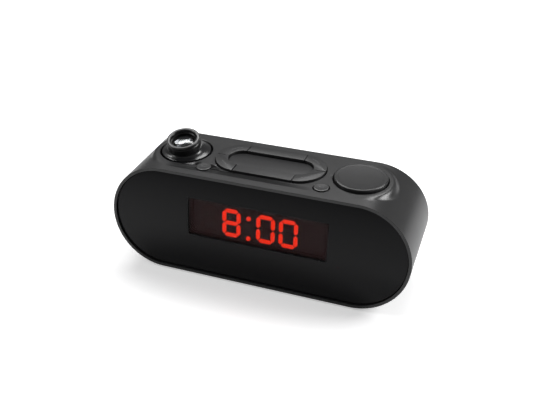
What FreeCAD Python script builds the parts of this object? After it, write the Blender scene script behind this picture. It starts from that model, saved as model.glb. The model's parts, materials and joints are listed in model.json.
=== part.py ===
"""Projection alarm clock, millimetres.

A stadium-section housing lies along X with its display face to -Y, leaning back, and +Z up. The origin
is on the table, under the middle of the housing. A ring of keys round a snooze bar, two round buttons
and a dial lie in the top, and a swivelling projector with a focus ring stands at its left end.
"""
import FreeCAD
import Part

import os
import re

import Sketcher
from FreeCAD import Rotation, Vector

os.makedirs("parts", exist_ok=True)

doc = FreeCAD.newDocument("projection_alarm_clock")
sheet = doc.addObject("Spreadsheet::Sheet", "Sizes")

# Driving dimensions: name, value in millimetres or degrees, meaning
SIZES = [
    ("foot_stand", 1.5, "height of the feet under the housing"),
    ("shell_radius", 37.0, "end radius of the housing's section"),
    ("shell_straight", 134.0, "flat length between the end centres"),
    ("shell_wall", 2.4, "wall of the housing"),
    ("base_depth", 64.0, "depth of the housing at the table"),
    ("face_lean", 6.15, "lean of the display face, degrees"),
    ("rim_width", 2.0, "bare rim round the lens"),
    ("lens_recess", 1.1, "rim stands this far in front of the lens"),
    ("lens_thick", 2.0, "front lens"),
    ("lens_gap", 0.35, "gap round the lens"),
    ("ledge_reach", 2.6, "ledge behind the lens edge"),
    ("ledge_thick", 1.6, "thickness of that ledge"),
    ("window_width", 96.0, "display window"),
    ("window_height", 26.5, "display window"),
    ("window_x", 1.0, "middle of the display window"),
    ("window_up", 5.65, "middle of the window above the face's middle"),
    ("filter_thick", 1.0, "red filter behind the lens"),
    ("digit_height", 20.3, "standard 0.8 inch digit"),
    ("digit_width", 12.8, "digit across its outer edges"),
    ("segment_width", 2.6, "stroke of a segment"),
    ("segment_gap", 0.45, "gap between segments"),
    ("segment_thick", 0.6, "segment pad"),
    ("digit_one_x", -33.2, "middle of the first digit"),
    ("digit_two_x", -17.5, "middle of the second digit"),
    ("digit_three_x", 6.6, "middle of the third digit"),
    ("digit_four_x", 22.3, "middle of the fourth digit"),
    ("digit_up", 4.7, "middle of the digits above the face's middle"),
    ("colon_x", -5.4, "colon"),
    ("colon_spread", 14.8, "from one colon dot to the other"),
    ("colon_up", 2.9, "middle of the colon"),
    ("dot_radius", 1.5, "colon dot"),
    ("display_depth", 8.0, "display block behind its bracket"),
    ("bracket_thick", 2.0, "bracket that carries the display"),
    ("bracket_rise", 16.0, "bracket above the middle of the window"),
    ("board_thick", 1.6, "circuit boards"),
    ("fit_gap", 0.3, "gap between pieces that stay apart"),
    ("run_gap", 0.1, "radial clearance of shafts and slides"),
    ("control_y", 6.0, "middle line of the controls"),
    ("well_depth", 8.0, "wells of the dial and the projector"),
    ("well_floor", 2.0, "floor of those wells"),
    ("well_radius", 18.1, "wells of the dial and the projector"),
    ("platform_radius", 21.2, "round platforms about the wells"),
    ("platform_x", 61.5, "platforms from the middle"),
    ("dial_radius", 17.5, "dial"),
    ("dial_rise", 2.2, "dial above the top"),
    ("dial_wall", 2.0, "dial skin"),
    ("dial_chamfer", 0.7, "dial rim"),
    ("hub_radius", 5.5, "dial hub"),
    ("dial_clearance", 1.5, "dial above its well floor"),
    ("bushing_rise", 5.0, "encoder bushing above the floor's underside"),
    ("shaft_depth", 3.8, "encoder shaft inside the encoder block"),
    ("shaft_radius", 3.0, "standard 6 mm encoder shaft"),
    ("bushing_radius", 4.4, "encoder bushing"),
    ("encoder_width", 12.0, "encoder block"),
    ("encoder_height", 6.0, "encoder block"),
    ("key_well_length", 76.8, "opening for the keys"),
    ("key_well_radius", 18.6, "opening for the keys"),
    ("key_gap", 0.35, "gap round the keys"),
    ("key_rise", 1.5, "ring keys above the top"),
    ("key_depth", 3.4, "underside of the keys below the top"),
    ("bar_length", 58.0, "snooze bar's long part"),
    ("bar_radius", 9.3, "snooze bar's ends"),
    ("bar_gap", 0.5, "gap between bar and ring"),
    ("bar_drop", 2.0, "fall of the bar from front to back"),
    ("split_x", 20.4, "gaps across the ring"),
    ("stem_radius", 1.6, "key stems"),
    ("stem_x", 12.0, "snooze stems from the middle"),
    ("guide_thick", 1.6, "guide plate under the keys"),
    ("guide_depth", 5.6, "guide plate's top below the housing top"),
    ("guide_margin", 1.3, "guide plate beyond the key opening"),
    ("round_x", 40.4, "round buttons from the middle"),
    ("round_y", -12.3, "round buttons"),
    ("round_radius", 4.95, "round buttons"),
    ("round_gap", 0.4, "gap round the round buttons"),
    ("round_rise", 0.8, "round buttons above the top"),
    ("round_flange", 1.2, "hidden flange of a round button"),
    ("switch_side", 6.0, "standard 6 mm key switch"),
    ("switch_height", 3.5, "body of that switch"),
    ("plunger_radius", 1.75, "its plunger"),
    ("plunger_rise", 1.5, "plunger above the switch"),
    ("plunger_foot", 1.8, "plunger inside the switch"),
    ("switch_floor", 0.4, "floor of the switch"),
    ("board_side_gap", 2.9, "key board from the projector's neck"),
    ("key_board_front", 17.0, "board's front edge before the middle"),
    ("board_rear_gap", 5.0, "key board's rear edge from the housing's rear"),
    ("post_inset", 3.0, "back posts from the key board's rear edge"),
    ("post_radius", 2.8, "screw posts"),
    ("screw_radius", 1.3, "screw shanks"),
    ("head_radius", 2.6, "screw heads"),
    ("head_height", 1.2, "screw heads"),
    ("front_post_x", 31.2, "front posts of the key board"),
    ("front_post_y", -14.0, "front posts of the key board"),
    ("back_post_x", 37.0, "back posts of the key board"),
    ("barrel_tilt", 13.0, "lean of the projector barrel, degrees"),
    ("pivot_depth", 6.0, "barrel axis crosses the swivel axis this far below the top"),
    ("barrel_reach", 17.4, "barrel rim from that crossing"),
    ("barrel_length", 6.5, "bare length of the focus ring"),
    ("barrel_radius", 11.3, "focus ring"),
    ("barrel_bore", 8.6, "mouth of the focus ring"),
    ("mouth_depth", 6.9, "depth of that mouth"),
    ("skirt_radius", 16.8, "foot of the projector's skirt"),
    ("optic_bore", 9.0, "bore of the projector"),
    ("sleeve_wall", 1.3, "focus ring's hidden sleeve"),
    ("sleeve_length", 2.2, "focus ring's hidden sleeve"),
    ("objective_radius", 7.3, "projection lens"),
    ("objective_recess", 3.4, "lens below the barrel rim"),
    ("objective_thick", 1.2, "projection lens"),
    ("cell_length", 3.4, "lens cell with its flange"),
    ("cell_lip", 1.0, "flange of the lens cell"),
    ("cell_wall", 1.6, "lens cell inside the lens edge"),
    ("ring_round", 0.6, "chamfer of the focus ring"),
    ("mouth_flare", 0.8, "flare of the ring's mouth"),
    ("neck_radius", 12.6, "projector's neck through the well floor"),
    ("neck_wall", 2.0, "wall of that neck"),
    ("neck_drop", 2.0, "neck below the well floor"),
    ("retainer_radius", 15.5, "ring that holds the neck"),
    ("slide_side", 11.6, "projected picture slide"),
    ("slide_thick", 1.2, "projected picture slide"),
    ("slide_seat", 3.0, "slide from the crossing, along the barrel"),
    ("lamp_radius", 2.5, "lamp"),
    ("lamp_height", 3.0, "lamp"),
    ("cover_thick", 2.4, "rear cover"),
    ("cover_recess", 0.4, "rear cover behind the housing's edge"),
    ("boss_radius", 4.0, "bosses of the rear cover"),
    ("boss_length", 14.0, "bosses of the rear cover"),
    ("boss_angle", 50.0, "bosses above and below the end centres, degrees"),
    ("slot_width", 1.8, "speaker slots"),
    ("slot_pitch", 4.0, "from slot to slot"),
    ("speaker_x", -42.0, "speaker"),
    ("speaker_radius", 20.0, "40 mm speaker"),
    ("speaker_depth", 15.0, "speaker"),
    ("magnet_radius", 11.0, "speaker magnet"),
    ("magnet_height", 6.0, "speaker magnet"),
    ("door_x", 46.0, "battery door"),
    ("door_width", 26.0, "battery door"),
    ("door_height", 26.0, "battery door"),
    ("door_thick", 1.6, "battery door"),
    ("door_gap", 0.3, "gap round the door"),
    ("hinge_radius", 1.3, "door's hinge barrel"),
    ("pin_radius", 0.6, "door's hinge pins"),
    ("pin_length", 1.2, "door's hinge pins"),
    ("tray_depth", 8.0, "battery tray"),
    ("tray_wall", 1.4, "battery tray"),
    ("coin_radius", 10.0, "standard 20 mm coin cell"),
    ("coin_height", 3.2, "standard 20 mm coin cell"),
    ("jack_x", 8.0, "power socket"),
    ("jack_width", 9.0, "power socket"),
    ("jack_height", 11.0, "power socket"),
    ("jack_length", 14.0, "power socket"),
    ("jack_bore", 3.2, "bore for a 5.5 mm plug"),
    ("jack_pin", 1.0, "socket's centre pin"),
    ("grommet_x", -8.0, "aerial's grommet"),
    ("grommet_radius", 3.0, "aerial's grommet"),
    ("grommet_bore", 0.9, "aerial's grommet"),
    ("foot_radius", 6.0, "rubber feet"),
    ("foot_inset_x", 10.0, "feet from the end centres"),
    ("foot_inset_y", 11.0, "feet from the housing's rear and front"),
    ("foot_socket", 0.8, "feet let into the housing"),
    ("main_board_width", 110.0, "main board"),
    ("main_board_depth", 34.0, "main board"),
    ("main_board_rise", 8.0, "main board above the housing floor"),
    ("chip_side", 12.0, "main chip"),
    ("chip_height", 2.0, "main chip"),
    ("can_radius", 4.0, "capacitors"),
    ("can_height", 10.0, "capacitors"),
]

# Sizes that follow from the driving ones
DERIVED = [
    ("shell_end", "shell_straight / 2", "end centre from the middle"),
    ("axis_height", "foot_stand + shell_radius", "middle of the housing"),
    ("top_height", "axis_height + shell_radius", "flat top"),
    ("floor_height", "foot_stand + shell_wall", "inside of the bottom"),
    ("half_depth", "base_depth / 2", "back and bottom front edge"),
    ("key_board_width", "2 * (platform_x - neck_radius - board_side_gap)", "board under the keys"),
    ("key_board_back", "half_depth - board_rear_gap", "key board's rear edge"),
    ("back_post_y", "key_board_back - post_inset", "back posts of the key board"),
    ("foot_x", "shell_end - foot_inset_x", "feet from the middle"),
    ("foot_y", "half_depth - foot_inset_y", "feet from the middle"),
    ("face_y", "-half_depth + shell_radius * tan(face_lean)", "face at mid height"),
    ("rim_bore", "shell_radius - rim_width", "inside of the rim"),
    ("shell_bore", "shell_radius - shell_wall", "inside of the housing"),
    ("ledge_bore", "rim_bore - ledge_reach", "inside of the ledge"),
    ("lens_back", "lens_recess + lens_thick", "depth behind the face"),
    ("ledge_back", "lens_back + ledge_thick", "depth behind the face"),
    ("bracket_back", "ledge_back + bracket_thick", "depth behind the face"),
    ("filter_back", "lens_back + filter_thick", "depth behind the face"),
    ("segment_front", "filter_back + fit_gap", "depth behind the face"),
    ("segment_back", "segment_front + segment_thick", "depth behind the face"),
    ("display_back", "bracket_back + display_depth", "depth behind the face"),
    ("well_base", "top_height - well_depth", "well floor's top"),
    ("well_under", "well_base - well_floor", "well floor's underside"),
    ("key_well_half", "key_well_length / 2 - key_well_radius", "opening's end centre"),
    ("ring_radius", "key_well_radius - key_gap", "outside of the keys"),
    ("bar_half", "bar_length / 2 - bar_radius", "bar's end centre"),
    ("ring_bore", "bar_radius + bar_gap", "inside of the ring keys"),
    ("key_top", "top_height + key_rise", "ring keys' top"),
    ("key_under", "top_height - key_depth", "keys' underside"),
    ("guide_top", "top_height - guide_depth", "guide plate's top"),
    ("guide_under", "guide_top - guide_thick", "guide plate's underside"),
    ("plunger_top", "guide_under - fit_gap", "switch plungers' top"),
    ("switch_top", "plunger_top - plunger_rise", "switches' top"),
    ("board_top", "switch_top - switch_height", "key board's top"),
    ("board_under", "board_top - board_thick", "key board's underside"),
    ("stem_ring", "(ring_radius + ring_bore) / 2", "ring keys' mid line"),
    ("pivot_height", "top_height - pivot_depth", "barrel axis crosses the swivel axis"),
    ("barrel_base", "barrel_reach - barrel_length", "focus ring's foot along the barrel"),
    ("collar_top", "barrel_base - run_gap * 2", "skirt's top along the barrel"),
    ("sleeve_radius", "optic_bore - run_gap", "focus ring's sleeve"),
    ("cell_radius", "sleeve_radius - sleeve_wall - run_gap", "lens cell"),
    ("cell_flange", "barrel_bore - run_gap * 2", "lens cell's flange"),
    ("cell_top", "barrel_reach - objective_recess - objective_thick", "lens seat along the barrel"),
    ("neck_under", "well_under - neck_drop", "foot of the neck"),
    ("cover_back", "half_depth - cover_recess", "rear cover's outside"),
    ("cover_front", "cover_back - cover_thick", "rear cover's inside"),
    ("boss_out", "(shell_bore - boss_radius * 0.8) * cos(boss_angle)", "boss past the end centre"),
    ("boss_up", "(shell_bore - boss_radius * 0.8) * sin(boss_angle)", "boss above the end centre"),
    ("door_base", "axis_height - door_height / 2", "door's lower edge"),
    ("hinge_height", "door_base + hinge_radius", "hinge axis"),
    ("hinge_y", "cover_back - hinge_radius", "hinge axis"),
    ("main_board_under", "floor_height + main_board_rise", "main board's underside"),
    ("main_board_top", "main_board_under + board_thick", "main board's top"),
    ("main_board_back", "cover_front - fit_gap", "main board's rear edge"),
    ("jack_axis", "main_board_top + jack_height / 2", "axis of the power socket"),
]

for row, (alias, value, note) in enumerate(SIZES + DERIVED, start=1):
    text = f"={value}" if isinstance(value, str) else str(value)
    sheet.set(f"A{row}", note)
    sheet.set(f"B{row}", text)
    sheet.setAlias(f"B{row}", alias)
doc.recompute()

NAMES = {alias for alias, _, _ in SIZES + DERIVED}
NODES = []

# Directions that a turned or padded piece can take
UPRIGHT = (Vector(1, 0, 0), "0")
TO_BACK = (Vector(1, 0, 0), "-90")
TO_RIGHT = (Vector(0, 1, 0), "90")
BARREL = (Vector(1, 0, 0), "barrel_tilt")
LEANING = (Vector(1, 0, 0), "-face_lean")


def bound(text):
    """Write an expression in the sheet's names."""
    return re.sub(r"[a-z_]+", lambda word: "Sizes." + word[0] if word[0] in NAMES else word[0], text)


def bind(obj, prop, text):
    """Bind one property to an expression of the sheet's sizes."""
    obj.setExpression(prop, bound(text))


def place(obj, spot, turn=UPRIGHT):
    """Put an object at a spot given by three expressions, turned about one axis."""
    axis, angle = turn
    obj.Placement = FreeCAD.Placement(Vector(), Rotation(axis, 1))
    for name, text in zip("xyz", spot):
        bind(obj, f"Placement.Base.{name}", text)
    bind(obj, "Placement.Rotation.Angle", angle)
    return obj


def on_barrel(along):
    """Spot at a distance along the projector's leaning barrel axis."""
    return ("-platform_x", f"control_y - ({along}) * sin(barrel_tilt)",
            f"pivot_height + ({along}) * cos(barrel_tilt)")


def on_face(across, up, deep):
    """Spot on the leaning face: across, up its slope and deep behind it."""
    return (across, f"face_y + ({up}) * sin(face_lean) + ({deep}) * cos(face_lean)",
            f"axis_height + ({up}) * cos(face_lean) - ({deep}) * sin(face_lean)")


def node(obj, label):
    """Name an object as one sub-part."""
    obj.Label = label
    NODES.append(obj)
    return obj


def box(name, x, y, z):
    """Box between pairs of expressions."""
    obj = doc.addObject("Part::Box", name)
    for prop, (low, high) in zip(("Length", "Width", "Height"), (x, y, z)):
        bind(obj, prop, f"({high}) - ({low})")
    return place(obj, (x[0], y[0], z[0]))


def face_box(name, x, up, deep):
    """Box that leans with the face, between pairs of expressions."""
    obj = doc.addObject("Part::Box", name)
    for prop, (low, high) in zip(("Length", "Width", "Height"), (x, deep, up)):
        bind(obj, prop, f"({high}) - ({low})")
    return place(obj, on_face(x[0], up[0], deep[0]), LEANING)


def rod(name, spot, radius, length, turn=UPRIGHT):
    """Round bar from a spot along its turned axis."""
    obj = doc.addObject("Part::Cylinder", name)
    bind(obj, "Radius", radius)
    bind(obj, "Height", length)
    return place(obj, spot, turn)


def cut(name, base, *tools):
    """Base less its tools."""
    tool = tools[0] if len(tools) == 1 else fuse(name + "_tools", *tools)
    obj = doc.addObject("Part::Cut", name)
    obj.Base = base
    obj.Tool = tool
    return obj


def fuse(name, *shapes):
    """One solid of several."""
    obj = doc.addObject("Part::MultiFuse", name)
    obj.Shapes = list(shapes)
    return obj


def common(name, *shapes):
    """What several solids share."""
    obj = doc.addObject("Part::MultiCommon", name)
    obj.Shapes = list(shapes)
    return obj


def group(name, shapes):
    """Like pieces that share one node."""
    obj = doc.addObject("Part::Compound", name)
    obj.Links = list(shapes)
    return obj


def new_sketch(body, role):
    """Sketch on one of the body's own origin planes."""
    plane = next(item for item in body.Origin.OriginFeatures if item.Role == role)
    sketch = body.newObject("Sketcher::SketchObject", body.Name + "_sketch")
    sketch.AttachmentSupport = [(plane, "")]
    sketch.MapMode = "FlatFace"
    return sketch


def bind_distance(sketch, kind, geometry, point, text):
    """Bind one coordinate of a sketch point, measured from the sketch's origin."""
    index = sketch.addConstraint(Sketcher.Constraint(kind, -1, 1, geometry, point, 1.0))
    sketch.setExpression(f"Constraints[{index}]", bound(text))


def stadium(name, role, half, radius, low, high, centre):
    """Stadium-section bar: its plane's role, end centre, end radius and reach along its normal."""
    body = doc.addObject("PartDesign::Body", name)
    sketch = new_sketch(body, role)
    end, right = Vector(3, 0, 0), Vector(0, 0, 1)
    sketch.addGeometry([
        Part.ArcOfCircle(Part.Circle(end, right, 2), -1.5708, 1.5708),
        Part.LineSegment(Vector(3, 2, 0), Vector(-3, 2, 0)),
        Part.ArcOfCircle(Part.Circle(-end, right, 2), 1.5708, 4.7124),
        Part.LineSegment(Vector(-3, -2, 0), Vector(3, -2, 0)),
    ])
    for first, second in ((0, 1), (1, 2), (2, 3), (3, 0)):
        sketch.addConstraint(Sketcher.Constraint("Tangent", first, 2, second, 1))
    sketch.addConstraint(Sketcher.Constraint("Equal", 0, 2))
    sketch.addConstraint(Sketcher.Constraint("Symmetric", 0, 3, 2, 3, -1, 1))
    sketch.addConstraint(Sketcher.Constraint("Horizontal", 1))
    span = sketch.addConstraint(Sketcher.Constraint("DistanceX", 2, 3, 0, 3, 6.0))
    sketch.setExpression(f"Constraints[{span}]", bound(f"2 * ({half})"))
    size = sketch.addConstraint(Sketcher.Constraint("Radius", 0, 2.0))
    sketch.setExpression(f"Constraints[{size}]", bound(radius))
    pad = body.newObject("PartDesign::Pad", name + "_pad")
    pad.Profile = sketch
    bind(pad, "Length", f"({high}) - ({low})")
    if role == "XZ_Plane":
        pad.Reversed = True
        return place(body, (centre[0], low, centre[1]))
    return place(body, (centre[0], centre[1], low))


def turned(name, profile, spot, turn=UPRIGHT):
    """Body turned about its own upright axis: radius and height expressions, none negative."""
    body = doc.addObject("PartDesign::Body", name)
    sketch = new_sketch(body, "XZ_Plane")
    rough = [Vector(3 + step, 5 + step * step, 0) for step in range(len(profile))]
    for start, end in zip(rough, rough[1:] + rough[:1]):
        sketch.addGeometry(Part.LineSegment(start, end))
    count = len(profile)
    for step in range(count):
        sketch.addConstraint(Sketcher.Constraint("Coincident", step, 2, (step + 1) % count, 1))
    for step, (radius, height) in enumerate(profile):
        bind_distance(sketch, "DistanceX", step, 1, radius)
        bind_distance(sketch, "DistanceY", step, 1, height)
    turning = body.newObject("PartDesign::Revolution", name + "_turning")
    turning.Profile = sketch
    turning.ReferenceAxis = (sketch, ["V_Axis"])
    turning.Angle = 360
    return place(body, spot, turn)


MIDDLE = ("0", "axis_height")
LEFT_AXIS = ("-platform_x", "control_y")
RIGHT_AXIS = ("platform_x", "control_y")
BOARD_POSTS = [(side + "front_post_x", "front_post_y") for side in ("-", "")]
BOARD_POSTS += [(side + "back_post_x", "back_post_y") for side in ("-", "")]
MAIN_POSTS = [(f"{side} * (main_board_width / 2 - post_radius * 2)",
               f"main_board_back - {share} * post_radius * 2") for side in (-1, 1) for share in (1, 4.5)]
COVER_SCREWS = [(f"{side} * (shell_end + boss_out)", f"axis_height + {lift} * boss_up")
                for side in (-1, 1) for lift in (-1, 1)]
ROUND_SPOTS = [("-round_x", "round_y"), ("round_x", "round_y")]
FEET = [(f"{side} * foot_x", f"{end} * foot_y") for side in (-1, 1) for end in (-1, 1)]


def front_of(name, deep):
    """Everything in front of a plane that leans with the face."""
    reach = "2 * (shell_end + shell_radius)"
    return face_box(name, (f"-{reach}", reach), (f"-{reach}", reach), (f"-{reach}", deep))


def behind(name, deep):
    """Everything behind a plane that leans with the face."""
    reach = "2 * (shell_end + shell_radius)"
    return face_box(name, (f"-{reach}", reach), (f"-{reach}", reach), (deep, reach))


def housing_bar(name, radius):
    """Bar along Y in the housing's own section, with another end radius."""
    return stadium(name, "XZ_Plane", "shell_end", radius, "-half_depth", "half_depth", MIDDLE)


def make_housing():
    """Sleeve with the lens ledge, top openings, wells, bosses and posts."""
    sleeve = cut(
        "sleeve", housing_bar("sleeve_bar", "shell_radius"),
        front_of("face_cut", "0"),
        common("lens_pocket", housing_bar("rim_bar", "rim_bore"), front_of("lens_seat", "lens_back")),
        common("shell_hollow", housing_bar("hollow_bar", "shell_bore"), behind("ledge_rear", "ledge_back")),
        housing_bar("ledge_bar", "ledge_bore"))
    cups = []
    holes = []
    for side, (x, y) in (("left", LEFT_AXIS), ("right", RIGHT_AXIS)):
        cups.append(rod(f"{side}_platform", (x, y, "well_under"), "platform_radius", "top_height - well_under"))
        holes.append(rod(f"{side}_well", (x, y, "well_base"), "well_radius", "well_depth + key_rise"))
    holes.append(rod("neck_hole", (*LEFT_AXIS, "well_under - 1"), "neck_radius + run_gap", "well_floor + 2"))
    holes.append(rod("bushing_hole", (*RIGHT_AXIS, "well_under - 1"), "bushing_radius + run_gap", "well_floor + 2"))
    holes.append(stadium("key_hole", "XY_Plane", "key_well_half", "key_well_radius",
                         "top_height - 2 * shell_wall", "top_height + 1", ("0", "control_y")))
    for index, (x, y) in enumerate(ROUND_SPOTS, start=1):
        holes.append(rod(f"round_hole_{index}", (x, y, "top_height - 2 * shell_wall"), "round_radius + round_gap",
                         "3 * shell_wall"))
    for index, (x, y) in enumerate(FEET, start=1):
        holes.append(rod(f"foot_hole_{index}", (x, y, "0"), "foot_radius + run_gap", "foot_stand + foot_socket"))
    posts = []
    for index, (x, y) in enumerate(BOARD_POSTS, start=1):
        posts.append(rod(f"key_post_{index}", (x, y, "board_top"), "post_radius",
                         "top_height - shell_wall / 2 - board_top"))
        holes.append(rod(f"key_pilot_{index}", (x, y, "board_top - 1"), "screw_radius + run_gap / 2", "8"))
    for index, (x, y) in enumerate(MAIN_POSTS, start=1):
        posts.append(rod(f"main_post_{index}", (x, y, "foot_stand + shell_wall / 2"), "post_radius",
                         "main_board_under - foot_stand - shell_wall / 2"))
        holes.append(rod(f"main_pilot_{index}", (x, y, "floor_height"), "screw_radius + run_gap / 2",
                         "main_board_rise + 1"))
    for index, (x, z) in enumerate(COVER_SCREWS, start=1):
        posts.append(rod(f"cover_boss_{index}", (x, "cover_front - boss_length", z), "boss_radius", "boss_length",
                         TO_BACK))
        holes.append(rod(f"cover_pilot_{index}", (x, "cover_front - boss_length / 2", z),
                         "screw_radius + run_gap / 2", "boss_length", TO_BACK))
    whole = fuse("housing_whole", sleeve, *cups, *posts)
    node(cut("main_housing", whole, *holes), "main_housing")


def make_face():
    """Front lens, red filter, bracket, display block, its board and the segments."""
    lens_bar = housing_bar("lens_bar", "rim_bore - lens_gap")
    lens = common("front_lens", lens_bar, behind("lens_front_plane", "lens_recess"),
                  front_of("lens_back_plane", "lens_back"))
    node(lens, "front_lens")
    across = ("window_x - window_width / 2", "window_x + window_width / 2")
    up = ("window_up - window_height / 2", "window_up + window_height / 2")
    node(face_box("red_filter", across, up, ("lens_back", "filter_back")), "red_filter")

    def around(pair, margin):
        return (f"{pair[0]} - ({margin})", f"{pair[1]} + ({margin})")

    plate = common("bracket_plate", housing_bar("bracket_bar", "shell_bore - fit_gap * 2"),
                   behind("bracket_front", "ledge_back"), front_of("bracket_rear", "bracket_back"),
                   face_box("bracket_top", ("-2 * shell_end", "2 * shell_end"), ("-2 * shell_radius", "window_up + bracket_rise"),
                            ("-shell_radius", "shell_radius")))
    opening = face_box("bracket_window", around(across, "-2 + fit_gap"), around(up, "-1 + fit_gap"),
                       ("0", "display_back"))
    node(cut("display_bracket", plate, opening), "display_bracket")
    block = face_box("display_block", around(across, "-2"), around(up, "-1"), ("segment_back", "bracket_back"))
    flange = face_box("display_flange", around(across, "2"), around(up, "2"), ("bracket_back", "display_back"))
    node(fuse("display_module", block, flange), "display_module")
    node(face_box("display_board", around(across, "5"), around(up, "2"),
                  ("display_back", "display_back + board_thick")), "display_board")


def segment(name, digit_x, across, up, length, upright):
    """One bar of a digit with pointed ends, on the leaning face."""
    half = float(sheet.segment_width) / 2
    run = length / 2
    tips = [(-run, 0), (half - run, half), (run - half, half), (run, 0), (run - half, -half), (half - run, -half)]
    if upright:
        tips = [(-rise, along) for along, rise in tips]
    points = [Vector(x, 0, y) for x, y in tips]
    wire = Part.makePolygon(points + points[:1])
    solid = Part.Face(wire).extrude(Vector(0, float(sheet.segment_thick), 0))
    obj = doc.addObject("Part::Feature", name)
    obj.Shape = solid
    return place(obj, on_face(f"{digit_x} + ({across})", f"digit_up + ({up})", "segment_front"), LEANING)


def make_digits():
    """Lit and unlit segments of the four digits, and the colon."""
    span_x = float(sheet.digit_width) - float(sheet.segment_width)
    span_z = (float(sheet.digit_height) - float(sheet.segment_width)) / 2
    gap = float(sheet.segment_gap)
    half_x = "(digit_width - segment_width) / 2"
    half_z = "(digit_height - segment_width) / 4"
    bars = {
        "top": ("0", f"2 * {half_z}", span_x, False),
        "centre": ("0", "0", span_x, False),
        "bottom": ("0", f"-2 * {half_z}", span_x, False),
        "upper_left": (f"-{half_x}", half_z, span_z, True),
        "upper_right": (half_x, half_z, span_z, True),
        "lower_left": (f"-{half_x}", f"-{half_z}", span_z, True),
        "lower_right": (half_x, f"-{half_z}", span_z, True),
    }
    dark = {"one": set(bars), "two": set(), "three": {"centre"}, "four": {"centre"}}
    lit = []
    unlit = []
    for digit, off in dark.items():
        for bar, (across, up, length, upright) in bars.items():
            piece = segment(f"{bar}_{digit}", f"digit_{digit}_x", across, up, length - 2 * gap, upright)
            (unlit if bar in off else lit).append(piece)
    for index, side in enumerate(("-", ""), start=1):
        spot = on_face("colon_x", f"colon_up + ({side}colon_spread / 2)", "segment_back")
        dot = rod(f"colon_dot_{index}", spot, "dot_radius", "segment_thick", (Vector(1, 0, 0), "90 - face_lean"))
        lit.append(dot)
    node(group("lit_segments", lit), "lit_segments")
    node(group("unlit_segments", unlit), "unlit_segments")


def switch(name, x, y):
    """Body of one key switch with the bore of its plunger."""
    half = "switch_side / 2"
    block = box(f"{name}_block", (f"{x} - {half}", f"{x} + {half}"), (f"{y} - {half}", f"{y} + {half}"),
                ("board_top", "switch_top"))
    bore = rod(f"{name}_bore", (x, y, "board_top + switch_floor"), "plunger_radius + run_gap", "switch_height")
    return cut(name, block, bore)


def plunger(name, x, y):
    """Plunger that a key's stem stands on."""
    foot = "switch_top - plunger_foot"
    return node(rod(name, (x, y, foot), "plunger_radius", f"plunger_top - ({foot})"), name)


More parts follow.
